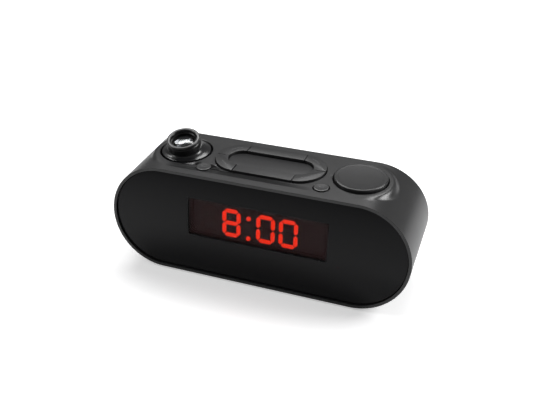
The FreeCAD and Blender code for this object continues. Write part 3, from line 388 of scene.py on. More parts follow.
@dataclass(frozen=True)
class Palette:
    """All finishes of the clock."""

    shell: Finish = Finish("housing_plastic", (0.0125, 0.0125, 0.0130), (0.0150, 0.0150, 0.0155), rough=0.33,
                           spread=0.06, grain=1500.0, bump=0.06, specular=0.6)
    keys: Finish = Finish("key_plastic", (0.0120, 0.0120, 0.0126), (0.0145, 0.0145, 0.0150), rough=0.36,
                          spread=0.06, grain=1700.0, bump=0.06, specular=0.55)
    dial: Finish = Finish("dial_plastic", (0.0115, 0.0115, 0.0120), (0.0140, 0.0140, 0.0145), rough=0.32,
                          spread=0.05, grain=1300.0, bump=0.05, specular=0.55)
    gloss: Finish = Finish("projector_black", (0.010, 0.010, 0.0108), (0.013, 0.013, 0.014), rough=0.24,
                           spread=0.06, grain=700.0, bump=0.02)
    hood: Finish = Finish("focus_ring_black", (0.007, 0.007, 0.0075), (0.010, 0.010, 0.0105), rough=0.3,
                          spread=0.08, grain=900.0, bump=0.03)
    silver: Finish = Finish("polished_reflector", (0.16, 0.16, 0.165), (0.05, 0.05, 0.052), rough=0.25,
                            spread=0.08, metallic=1.0, bump=0.03)
    lit: Finish = Finish("lit_red", (0.92, 0.026, 0.004), (0.88, 0.022, 0.003), rough=0.5, glow=2.0)
    unlit: Finish = Finish("unlit_grey", (0.020, 0.009, 0.009), (0.024, 0.011, 0.010), rough=0.6)
    filter: RedFilter = RedFilter()
    inner: Finish = Finish("inner_plastic", (0.012, 0.012, 0.012), (0.016, 0.016, 0.016), rough=0.6)
    board: Finish = Finish("board_green", (0.012, 0.075, 0.03), (0.016, 0.09, 0.036), rough=0.4, coat=0.3)
    steel: Finish = Finish("nickel_steel", (0.52, 0.52, 0.53), (0.44, 0.44, 0.45), rough=0.3, metallic=1.0)
    rubber: Finish = Finish("foot_rubber", (0.012, 0.012, 0.012), (0.016, 0.016, 0.016), rough=0.8, bump=0.15)
    paper: Finish = Finish("cone_paper", (0.02, 0.02, 0.02), (0.03, 0.03, 0.028), rough=0.85, bump=0.3)
    # Pale marks: printed legends on the keys and buttons, and a painted highlight on the raised dots round the dial.
    mark: Finish = Finish("print_and_painted_highlight_marks", (0.075, 0.075, 0.078), (0.085, 0.085, 0.088), rough=0.5)
    dark_mark: Finish = Finish("moulded_marks", (0.012, 0.012, 0.012), (0.015, 0.015, 0.015), rough=0.5)


# Modelling with operators


class Bench:
    """Workbench that adds primitives, shapes them in edit mode and finishes them."""

    @staticmethod
    def clear() -> None:
        """Leave edit mode and deselect everything."""
        if bpy.context.object is not None and bpy.context.object.mode != "OBJECT":
            bpy.ops.object.mode_set(mode="OBJECT")
        bpy.ops.object.select_all(action="DESELECT")

    @classmethod
    def pick(cls, piece: bpy.types.Object) -> None:
        """Select one object alone and make it active."""
        cls.clear()
        piece.select_set(True)
        bpy.context.view_layer.objects.active = piece

    @staticmethod
    def choose(piece: bpy.types.Object, test: Callable[[Vector], bool], kind: str = "VERT") -> int:
        """Select parts of a mesh in edit mode by place.

        Args:
            piece: Object in edit mode.
            test: Says whether a vertex, or the middle of an edge or face, is chosen.
            kind: VERT, EDGE or FACE.

        Returns:
            How many were chosen.
        """
        bpy.ops.mesh.select_mode(type=kind)
        bpy.ops.mesh.select_all(action="DESELECT")
        mesh = bmesh.from_edit_mesh(piece.data)
        count = 0
        items = {"VERT": mesh.verts, "EDGE": mesh.edges, "FACE": mesh.faces}[kind]
        for item in items:
            if kind == "VERT":
                spot = item.co
            elif kind == "EDGE":
                spot = (item.verts[0].co + item.verts[1].co) / 2
            else:
                spot = item.calc_center_median()
            if test(spot):
                item.select_set(True)
                count += 1
        mesh.select_flush_mode()
        bmesh.update_edit_mesh(piece.data)
        return count

    @classmethod
    def ring(cls, name: str, half: float, radius: float, steps: int, along: Along) -> bpy.types.Object:
        """Add a circle of edges and pull its halves apart into a stadium.

        Args:
            name: Name of the piece.
            half: How far each half moves along X.
            radius: End radius.
            steps: Vertices round the whole outline.
            along: Direction that the outline faces.

        Returns:
            The piece, left in edit mode with all selected.
        """
        cls.clear()
        bpy.ops.mesh.primitive_circle_add(vertices=steps, radius=radius, fill_type="NOTHING")
        piece = bpy.context.object
        piece.name = name
        piece.data.transform(Matrix.Rotation(math.pi / steps, 4, "Z"))
        if along is Along.BACK:
            piece.data.transform(Matrix.Rotation(math.pi / 2, 4, "X"))
        bpy.ops.object.mode_set(mode="EDIT")
        if half > 0.0:
            for side in (1.0, -1.0):
                cls.choose(piece, lambda spot, way=side: spot.x * way > 0.0)
                bpy.ops.transform.translate(value=(side * half, 0.0, 0.0))
        bpy.ops.mesh.select_mode(type="EDGE")
        bpy.ops.mesh.select_all(action="SELECT")
        return piece

    @classmethod
    def layers(cls, name: str, half: float, rings: Sequence[tuple[float, float]], spot: Point = (0.0, 0.0, 0.0),
               along: Along = Along.UP, tilt: float = 0.0, steps: int = 96, caps: bool = False) -> bpy.types.Object:
        """Stack of outlines: a ring of edges extruded and scaled from one outline to the next.

        Args:
            name: Name of the piece.
            half: Middle of an end from the centre; 0 gives a turned piece.
            rings: Radius and height of each outline; a radius of 0 closes a turned piece at its axis.
            spot: Where the origin of the heights goes.
            along: Direction that the heights run in.
            tilt: Turn about X, in radians.
            steps: Vertices round it.
            caps: Whether the first and last outlines are filled.

        Returns:
            The piece in object mode.
        """
        least = 1e-7
        sizes = [(max(radius, least), height) for radius, height in rings]
        piece = cls.ring(name, half, sizes[0][0], steps, Along.UP)
        bpy.ops.transform.translate(value=(0.0, 0.0, sizes[0][1]))
        for (radius, height), (next_radius, next_height) in zip(sizes, sizes[1:]):
            bpy.ops.mesh.extrude_edges_move(TRANSFORM_OT_translate={"value": (0.0, 0.0, next_height - height)})
            scale = next_radius / radius
            if half > 0.0 and scale != 1.0:
                cls.scale_ends(piece, half, scale, next_height)
            elif scale != 1.0:
                bpy.ops.transform.resize(value=(scale, scale, 1.0), center_override=(0.0, 0.0, next_height))
        bpy.ops.mesh.select_all(action="SELECT")
        bpy.ops.mesh.remove_doubles(threshold=2e-6)
        if caps:
            bpy.ops.mesh.select_mode(type="EDGE")
            bpy.ops.mesh.select_all(action="DESELECT")
            bpy.ops.mesh.select_non_manifold()
            bpy.ops.mesh.edge_face_add()
            bpy.ops.mesh.select_all(action="SELECT")
        bpy.ops.mesh.normals_make_consistent(inside=False)
        bpy.ops.object.mode_set(mode="OBJECT")
        turn = Matrix.Rotation(-math.pi / 2, 4, "X") if along is Along.BACK else Matrix.Rotation(tilt, 4, "X")
        piece.data.transform(Matrix.Translation(spot) @ turn)
        return piece

    @staticmethod
    def scale_ends(piece: bpy.types.Object, half: float, scale: float, height: float) -> None:
        """Scale the selected outline about the middle of each of its two ends.

        Args:
            piece: Object in edit mode, with one outline selected.
            half: Middle of an end from the centre.
            scale: Factor on the end radius.
            height: Height of the outline.
        """
        mesh = bmesh.from_edit_mesh(piece.data)
        outline = [vertex.index for vertex in mesh.verts if vertex.select]
        for side in (1.0, -1.0):
            bpy.ops.mesh.select_all(action="DESELECT")
            mesh = bmesh.from_edit_mesh(piece.data)
            mesh.verts.ensure_lookup_table()
            for index in outline:
                if mesh.verts[index].co.x * side > 0.0:
                    mesh.verts[index].select_set(True)
            mesh.select_flush(True)
            bmesh.update_edit_mesh(piece.data)
            bpy.ops.transform.resize(value=(scale, scale, 1.0), center_override=(side * half, 0.0, height))
        mesh = bmesh.from_edit_mesh(piece.data)
        mesh.verts.ensure_lookup_table()
        for index in outline:
            mesh.verts[index].select_set(True)
        mesh.select_flush(True)
        bmesh.update_edit_mesh(piece.data)

    @classmethod
    def block(cls, name: str, half: float, radius: float, low: float, high: float, centre: tuple[float, float],
              along: Along = Along.UP, steps: int = 96) -> bpy.types.Object:
        """Plain stadium block or drum between two heights.

        Args:
            name: Name of the piece.
            half: Middle of an end from the centre; 0 gives a drum.
            radius: End radius.
            low: Start along its direction.
            high: End along its direction.
            centre: Centre across its direction: x and y, or x and z for a piece that runs back.
            along: Direction that it grows in.
            steps: Vertices round it.

        Returns:
            The piece in object mode.
        """
        spot = (centre[0], centre[1], 0.0) if along is Along.UP else (centre[0], 0.0, centre[1])
        return cls.layers(name, half, [(radius, low), (radius, high)], spot, along, steps=steps, caps=True)

    @classmethod
    def lathe(cls, name: str, profile: Sequence[tuple[float, float]], spot: Point = (0.0, 0.0, 0.0),
              tilt: float = 0.0, steps: int = 96) -> bpy.types.Object:
        """Turned piece from its profile of radius and height, at a spot and turned about X."""
        return cls.layers(name, 0.0, profile, spot, tilt=tilt, steps=steps)

    @classmethod
    def join_by(cls, piece: bpy.types.Object, tool: bpy.types.Object, way: Cut) -> None:
        """Apply a boolean with another mesh and delete that mesh."""
        cls.pick(piece)
        step = piece.modifiers.new(way.name, "BOOLEAN")
        step.operation = way.value
        step.object = tool
        step.solver = "EXACT"
        bpy.ops.object.modifier_apply(modifier=step.name)
        bpy.data.objects.remove(tool)

    @classmethod
    def trim(cls, piece: bpy.types.Object, spot: Point, facing: Point) -> None:
        """Bisect a piece, drop what lies on the side that the plane faces, and close the cut."""
        cls.pick(piece)
        bpy.ops.object.mode_set(mode="EDIT")
        bpy.ops.mesh.select_all(action="SELECT")
        bpy.ops.mesh.bisect(plane_co=spot, plane_no=facing, use_fill=True, clear_outer=True)
        bpy.ops.object.mode_set(mode="OBJECT")

    @classmethod
    def soften(cls, piece: bpy.types.Object, width: float, segments: int = 3, angle: float = 40.0) -> None:
        """Round the sharp edges with a bevel that is applied."""
        cls.pick(piece)
        step = piece.modifiers.new("rounding", "BEVEL")
        step.width = width
        step.segments = segments
        step.limit_method = "ANGLE"
        step.angle_limit = math.radians(angle)
        step.use_clamp_overlap = True
        bpy.ops.object.modifier_apply(modifier=step.name)

    @classmethod
    def finish(cls, piece: bpy.types.Object, finish: Finish | SmokedFace | RedFilter | ClearLens, body: str, slot: str,
               angle: float = 35.0) -> bpy.types.Object:
        """Shade, dress and hang a piece on its body.

        Args:
            piece: The modelled piece.
            finish: Its finish.
            body: CAD body that it rides on.
            slot: Material slot of the record; not used.
            angle: Edges sharper than this stay sharp, in degrees.

        Returns:
            The same piece.
        """
        cls.pick(piece)
        bpy.ops.object.shade_smooth_by_angle(angle=math.radians(angle))
        piece.data.materials.clear()
        piece.data.materials.append(finish.build())
        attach(piece, body)
        log.info("%s: %d faces on %s", piece.name, len(piece.data.polygons), body)
        return piece

    @staticmethod
    def weld(pieces: Iterable[bpy.types.Object], name: str) -> bpy.types.Object:
        """Join several meshes into one object."""
        Bench.clear()
        items = list(pieces)
        for piece in items:
            piece.select_set(True)
        bpy.context.view_layer.objects.active = items[0]
        if len(items) > 1:
            bpy.ops.object.join()
        items[0].name = name
        return items[0]


@dataclass(frozen=True)
class Layout:
    """Places that several sub-assemblies share, in the frame's metres."""

    half: float = 67.0 * MM
    radius: float = 37.0 * MM
    foot: float = 1.5 * MM
    depth: float = 64.0 * MM
    lean: float = math.radians(6.15)
    control_y: float = 6.0 * MM
    platform_x: float = 61.5 * MM
    well_radius: float = 18.1 * MM
    well_depth: float = 8.0 * MM

    @property
    def axis(self) -> float:
        """Height of the housing's middle."""
        return self.foot + self.radius

    @property
    def top(self) -> float:
        """Height of the flat top."""
        return self.axis + self.radius

    def front(self, height: float) -> float:
        """Y of the leaning face at a height."""
        return -self.depth / 2 + (height - self.foot) * math.tan(self.lean)

    def lean_back(self, piece: bpy.types.Object) -> None:
        """Shear a piece so that its upright front follows the leaning face."""
        for vertex in piece.data.vertices:
            vertex.co.y += self.front(vertex.co.z)


# Sub-assemblies


@dataclass
class HousingShell:
    """Moulded sleeve with its rim, round platforms, wells and openings."""

    layout: Layout
    wall: float = 2.4 * MM
    rim: float = 2.0 * MM
    round_steps: int = 256
    depth_steps: int = 110
    platform_radius: float = 20.6 * MM
    platform_fall: float = 4.5 * MM
    well_floor: float = 2.0 * MM
    edge_round: float = 0.55 * MM
    lip: float = 0.3 * MM
    cup_wall: float = 2.2 * MM

    def platform_lift(self, x: float, y: float, height: float) -> float:
        """How far the skin rises at a place to carry a round platform.

        Args:
            x: Place across.
            y: Place along the depth.
            height: Height of the plain skin there.

        Returns:
            Rise in metres.
        """
        away = math.hypot(abs(x) - self.layout.platform_x, y - self.layout.control_y)
        share = (self.platform_radius + self.platform_fall - away) / self.platform_fall
        share = min(1.0, max(0.0, share))
        blend = share ** 1.7 * (2.7 - 1.7 * share)
        return (self.layout.top - height) * min(1.0, blend)

    def skin(self) -> bpy.types.Object:
        """Solid bar with a leaning face, whose upper corners rise to the platforms.

        Returns:
            The bar, closed at both ends.
        """
        layout = self.layout
        rows = [(layout.radius, step / self.depth_steps) for step in range(self.depth_steps + 1)]
        piece = Bench.layers("housing_shell", layout.half, rows, along=Along.BACK, steps=self.round_steps, caps=True)
        for vertex in piece.data.vertices:
            height = vertex.co.z + layout.axis
            front = layout.front(height)
            vertex.co.y = front + vertex.co.y * (layout.depth / 2 - front)
            vertex.co.z = height
            if abs(vertex.co.x) > layout.half - 1e-5 and height > layout.axis:
                vertex.co.z += self.platform_lift(vertex.co.x, vertex.co.y, height)
        return piece

    def build(self) -> None:
        """Model the sleeve, cut its openings and dress it."""
        layout = self.layout
        piece = self.skin()
        hollow = Bench.block("hollow", layout.half, layout.radius - self.wall, -layout.depth, layout.depth,
                             (0.0, layout.axis), Along.BACK, steps=self.round_steps)
        Bench.join_by(piece, hollow, Cut.REMOVE)
        inner = layout.radius - self.wall - 0.6 * MM
        rim = layout.radius - self.rim
        seat = 3.1 * MM
        rebate = Bench.layers("rebate", layout.half, [(inner, -seat), (rim, -seat), (rim, seat), (inner, seat),
                                                      (inner, -seat)],
                              (0.0, 0.0, layout.axis), Along.BACK, steps=self.round_steps)
        layout.lean_back(rebate)
        Bench.join_by(piece, rebate, Cut.REMOVE)
        Bench.soften(piece, self.edge_round, segments=4, angle=60.0)
        well_base = layout.top - layout.well_depth
        lip = self.lip
        for side, centre_hole in ((-1.0, 12.7 * MM), (1.0, 4.5 * MM)):
            spot = (side * layout.platform_x, layout.control_y, layout.top)
            outer = layout.well_radius + self.cup_wall
            cup = Bench.lathe("cup", [(centre_hole, -layout.well_depth - self.well_floor),
                                      (outer, -layout.well_depth - self.well_floor), (outer, -MM),
                                      (layout.well_radius - MM, -MM), (layout.well_radius - MM, -layout.well_depth),
                                      (centre_hole, -layout.well_depth),
                                      (centre_hole, -layout.well_depth - self.well_floor)], spot, steps=160)
            Bench.join_by(piece, cup, Cut.ADD)
            radius = layout.well_radius
            well = Bench.layers("well", 0.0, [(radius, -layout.well_depth), (radius, -lip), (radius + lip, 0.0),
                                              (radius + lip, 4.0 * MM)], spot, steps=160, caps=True)
            Bench.join_by(piece, well, Cut.REMOVE)
            button = (side * 40.4 * MM, -12.3 * MM, layout.top)
            hole = Bench.layers("round_hole", 0.0, [(5.35 * MM, -5.0 * MM), (5.35 * MM, -lip), (5.35 * MM + lip, 0.0),
                                                    (5.35 * MM + lip, 4.0 * MM)], button, steps=64, caps=True)
            Bench.join_by(piece, hole, Cut.REMOVE)
        radius = 18.6 * MM
        opening = Bench.layers("key_hole", 19.8 * MM, [(radius, -6.0 * MM), (radius, -lip), (radius + lip, 0.0),
                                                       (radius + lip, 4.0 * MM)],
                               (0.0, layout.control_y, layout.top), steps=160, caps=True)
        Bench.join_by(piece, opening, Cut.REMOVE)
        Bench.finish(piece, PALETTE.shell, "clock", "housing_plastic", angle=28.0)
        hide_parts("main_housing")
        self.ledge()

    def ledge(self) -> None:
        """Inner ledge that carries the lens."""
        layout = self.layout
        outer = Bench.block("lens_ledge", layout.half, layout.radius - self.wall + 0.2 * MM, 3.1 * MM, 4.7 * MM,
                            (0.0, layout.axis), Along.BACK, steps=128)
        inner = Bench.block("ledge_hole", layout.half, layout.radius - 4.6 * MM, 2.0 * MM, 6.0 * MM,
                            (0.0, layout.axis), Along.BACK, steps=128)
        Bench.join_by(outer, inner, Cut.REMOVE)
        layout.lean_back(outer)
        Bench.finish(outer, PALETTE.inner, "clock", "housing_plastic")


@dataclass
class FrontFace:
    """Smoked lens in the housing's rim."""

    layout: Layout
    recess: float = 1.1 * MM
    thick: float = 2.0 * MM
    radius: float = 34.65 * MM
    edge: float = 0.3 * MM

    def build(self) -> None:
        """Model the lens and dress it."""
        layout = self.layout
        lens = Bench.block("face_lens", layout.half, self.radius, self.recess, self.recess + self.thick,
                           (0.0, layout.axis), Along.BACK, steps=256)
        Bench.soften(lens, self.edge, segments=3)
        layout.lean_back(lens)
        Bench.finish(lens, SmokedFace(), "clock", "smoked_lens", angle=50.0)
        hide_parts("front_lens")


@dataclass
class ControlGroup:
    """Ring keys, snooze bar and their small marks."""

    layout: Layout
    half: float = 19.8 * MM
    outer: float = 18.25 * MM
    bar_radius: float = 9.3 * MM
    gap: float = 0.5 * MM
    rise: float = 1.5 * MM
    under: float = 3.4 * MM
    split: float = 20.4 * MM
    drop: float = 2.0 * MM
    edge: float = 0.45 * MM
    centre: tuple[float, float] = field(init=False)
    low: float = field(init=False)
    high: float = field(init=False)

    def __post_init__(self) -> None:
        """Work out the places that follow from the layout."""
        self.centre = (0.0, self.layout.control_y)
        self.low = self.layout.top - self.under
        self.high = self.layout.top + self.rise

    def ring_part(self, name: str, across: int, along: int) -> bpy.types.Object:
        """One key of the ring.

        Args:
            name: Name of the CAD node that it stands for.
            across: -1 for a left key, 1 for a right one and 0 for the middle of the rear.
            along: 1 for a rear key and -1 for a front one.

        Returns:
            The key's cap.
        """
        cap = Bench.block(name + "_cap", self.half, self.outer, self.low, self.high, self.centre, steps=160)
        hollow = Bench.block("hollow", self.half, self.bar_radius + self.gap, self.low - MM, self.high + MM,
                             self.centre, steps=160)
        Bench.join_by(cap, hollow, Cut.REMOVE)
        mid = self.centre[1]
        Bench.trim(cap, (0.0, mid + along * self.gap / 2, 0.0), (0.0, -along, 0.0))
        if across:
            Bench.trim(cap, (across * (self.split + self.gap / 2), 0.0, 0.0), (-across, 0.0, 0.0))
        else:
            for side in (-1.0, 1.0):
                Bench.trim(cap, (side * (self.split - self.gap / 2), 0.0, 0.0), (side, 0.0, 0.0))
        Bench.soften(cap, self.edge, segments=4)
        return cap

    def stem(self, spot: tuple[float, float]) -> bpy.types.Object:
        """Stem that stands on a switch."""
        return Bench.block("stem", 0.0, 1.6 * MM, self.layout.top - 7.5 * MM, self.low + MM / 2, spot, steps=24)

    def snooze(self) -> bpy.types.Object:
        """Snooze bar: its long part and the strip that runs out to the front.

        Returns:
            The bar's cap.
        """
        mid = self.centre[1]
        bar = Bench.block("snooze_cap", self.half, self.bar_radius, self.low, self.high, self.centre, steps=160)
        strip = Bench.block("strip", self.half, self.outer, self.low, self.high, self.centre, steps=160)
        Bench.trim(strip, (0.0, mid, 0.0), (0.0, 1.0, 0.0))
        for side in (-1.0, 1.0):
            Bench.trim(strip, (side * (self.split - self.gap / 2), 0.0, 0.0), (side, 0.0, 0.0))
        Bench.join_by(bar, strip, Cut.ADD)
        run = self.outer + self.bar_radius
        Bench.trim(bar, (0.0, mid - self.outer, self.high), (0.0, self.drop / run, 1.0))
        Bench.soften(bar, self.edge, segments=4)
        return bar

    def slope(self, y: float) -> float:
        """Height of the snooze bar's top at a depth."""
        return self.high - self.drop * (y - self.centre[1] + self.outer) / (self.outer + self.bar_radius)

    def mark(self, name: str, x: float, y: float, height: float, width: float, length: float,
             turn: float) -> bpy.types.Object:
        """Small raised mark.

        Args:
            name: Name of the mark.
            x: Place across.
            y: Place along the depth.
            height: Height of the surface under it.
            width: Its width.
            length: Its length.
            turn: Turn about Z in degrees.

        Returns:
            The mark.
        """
        half = max(0.0, (length - width) / 2)
        piece = Bench.block(name, half, width / 2, -0.06 * MM, 0.07 * MM, (0.0, 0.0), steps=16)
        piece.data.transform(Matrix.Translation((x, y, height)) @ Matrix.Rotation(math.radians(turn), 4, "Z"))
        return piece

    def build(self) -> None:
        """Model the keys, the bar and their marks."""
        out = self.half + 9.92 * MM
        keys = {"rear_left": (-1, 1), "front_left": (-1, -1), "rear_right": (1, 1), "front_right": (1, -1),
                "rear": (0, 1)}
        for name, (across, along) in keys.items():
            cap = self.ring_part(name, across, along)
            spot = (across * out, self.centre[1] + along * (9.92 * MM if across else 14.0 * MM))
            key = Bench.weld([cap, self.stem(spot)], name + "_cap")
            Bench.finish(key, PALETTE.keys, name + "_press", "key_plastic")
            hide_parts(name + "_key")
            if across:
                self.key_marks(name, across, along)
        bar = Bench.weld([self.snooze(), self.stem((-12.0 * MM, self.centre[1])),
                          self.stem((12.0 * MM, self.centre[1]))], "snooze_cap")
        Bench.finish(bar, PALETTE.keys, "snooze", "key_plastic")
        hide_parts("snooze_bar")
        self.bar_marks()

    def key_marks(self, name: str, across: int, along: int) -> None:
        """A short row of raised dashes on one ring key, following the ring."""
        pieces = []
        mid_line = (self.outer + self.bar_radius + self.gap) / 2
        for step in range(4):
            angle = math.radians(along * (38.0 + step * 9.0))
            x = across * (self.half + mid_line * math.cos(angle))
            y = self.centre[1] + mid_line * math.sin(angle)
            turn = across * math.degrees(angle) + 90.0
            pieces.append(self.mark("dash", x, y, self.high, 0.55 * MM, (1.5 - 0.2 * (step % 2)) * MM, turn))
        marks = Bench.weld(pieces, name + "_marks")
        Bench.finish(marks, PALETTE.mark, name + "_press", "key_plastic")

    def bar_marks(self) -> None:
        """Row of seven small raised marks on the snooze bar."""
        pieces = []
        for step in range(7):
            x = (-10.5 + 3.1 * step) * MM
            y = (-1.6 - 0.05 * step) * MM
            tall = (1.5, 1.1, 1.6, 1.2, 1.6, 1.3, 1.5)[step] * MM
            pieces.append(self.mark("tick", x, y, self.slope(y), 0.5 * MM, tall, 90.0 if step % 2 else 35.0))
            pieces.append(self.mark("tick", x + 0.9 * MM, y, self.slope(y), 0.45 * MM, tall * 0.8,
                                    -35.0 if step % 2 else 90.0))
        marks = Bench.weld(pieces, "snooze_marks")
        Bench.finish(marks, PALETTE.dark_mark, "snooze", "key_plastic")


@dataclass
class RoundButtons:
    """Two small round buttons in front of the ring."""

    layout: Layout
    radius: float = 4.95 * MM
    rise: float = 0.8 * MM
    x: float = 40.4 * MM
    y: float = -12.3 * MM

    def build(self) -> None:
        """Model both buttons with a soft edge, a shallow dish, a flange and a stem."""
        under = -7.5 * MM
        flange = -2.7 * MM
        profile = [(0.0, under), (1.6 * MM, under), (1.6 * MM, flange - 1.2 * MM), (6.1 * MM, flange - 1.2 * MM),
                   (6.1 * MM, flange), (self.radius, flange), (self.radius, self.rise - 0.4 * MM),
                   (self.radius - 0.12 * MM, self.rise - 0.12 * MM), (self.radius - 0.45 * MM, self.rise),
                   (self.radius * 0.75, self.rise - 0.06 * MM), (self.radius * 0.4, self.rise - 0.14 * MM),
                   (0.0, self.rise - 0.17 * MM)]
        for side, name in ((-1.0, "left_round"), (1.0, "right_round")):
            spot = (side * self.x, self.y, self.layout.top)
            button = Bench.lathe(name + "_cap", profile, spot, steps=64)
            Bench.finish(button, PALETTE.keys, name, "key_plastic")
            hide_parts(name + "_button")
            pieces = []
            for step in (-1, 1):
                piece = Bench.block("dot", 0.7 * MM, 0.24 * MM, 0.0, 0.09 * MM, (0.0, 0.0), steps=16)
                turn = Matrix.Rotation(math.radians(35.0 * step), 4, "Z")
                move = (spot[0] + step * 1.0 * MM, self.y, self.layout.top + self.rise - 0.16 * MM)
                piece.data.transform(Matrix.Translation(move) @ turn)
                pieces.append(piece)
            marks = Bench.weld(pieces, name + "_marks")
            Bench.finish(marks, PALETTE.mark, name, "key_plastic")


@dataclass
class Dial:
    """Turning dial with a dished top and fine marks round its edge."""

    layout: Layout
    radius: float = 17.5 * MM
    rise: float = 2.2 * MM
    marks: int = 60

    def build(self) -> None:
        """Model the dial, its marks and the raised dots round its well."""
        layout = self.layout
        foot = -6.5 * MM
        inner = self.radius - 2.0 * MM
        top = self.rise
        profile = [(3.0 * MM, 0.0), (3.0 * MM, -4.3 * MM), (5.5 * MM, -4.3 * MM), (5.5 * MM, 0.0), (inner, 0.0),
                   (inner, foot), (self.radius, foot), (self.radius, top - 0.9 * MM),
                   (self.radius - 0.08 * MM, top - 0.5 * MM), (self.radius - 0.3 * MM, top - 0.2 * MM),
                   (self.radius - 0.65 * MM, top - 0.05 * MM), (self.radius - 1.0 * MM, top)]
        for share in (0.9, 0.8, 0.65, 0.5, 0.35, 0.2, 0.0):
            profile.append((self.radius * share, top - 0.55 * MM * (1.0 - share ** 2)))
        spot = (layout.platform_x, layout.control_y, layout.top)
        dial = Bench.lathe("dial_cap", profile, spot, steps=180)
        Bench.finish(dial, PALETTE.dial, "dial", "key_plastic", angle=40.0)
        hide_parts("dial")
        pieces = []
        for step in range(self.marks):
            if step % 15 > 9:
                continue
            angle = 2.0 * math.pi * step / self.marks
            line = Bench.block("line", 0.9 * MM, 0.09 * MM, -0.04 * MM, 0.05 * MM, (0.0, 0.0), steps=8)
            reach = self.radius * 0.86
            height = layout.top + top - 0.55 * MM * (1.0 - 0.86 ** 2)
            move = (spot[0] + reach * math.cos(angle), spot[1] + reach * math.sin(angle), height)
            line.data.transform(Matrix.Translation(move) @ Matrix.Rotation(angle, 4, "Z"))
            pieces.append(line)
        lines = Bench.weld(pieces, "dial_lines")
        Bench.finish(lines, PALETTE.dark_mark, "dial", "key_plastic")
        # The dots' pale grey is a painted highlight on raised dots.
        dots = []
        for x, y in ((61.7, -14.2), (42.4, 5.1), (63.0, 26.3)):
            dot = Bench.block("dot", 0.75 * MM, 0.3 * MM, 0.0, 0.08 * MM, (x * MM, y * MM), steps=16)
            dot.data.transform(Matrix.Translation((0.0, 0.0, layout.top)))
            dots.append(dot)
        ring = Bench.weld(dots, "dial_dots")
        Bench.finish(ring, PALETTE.mark, "clock", "housing_plastic")


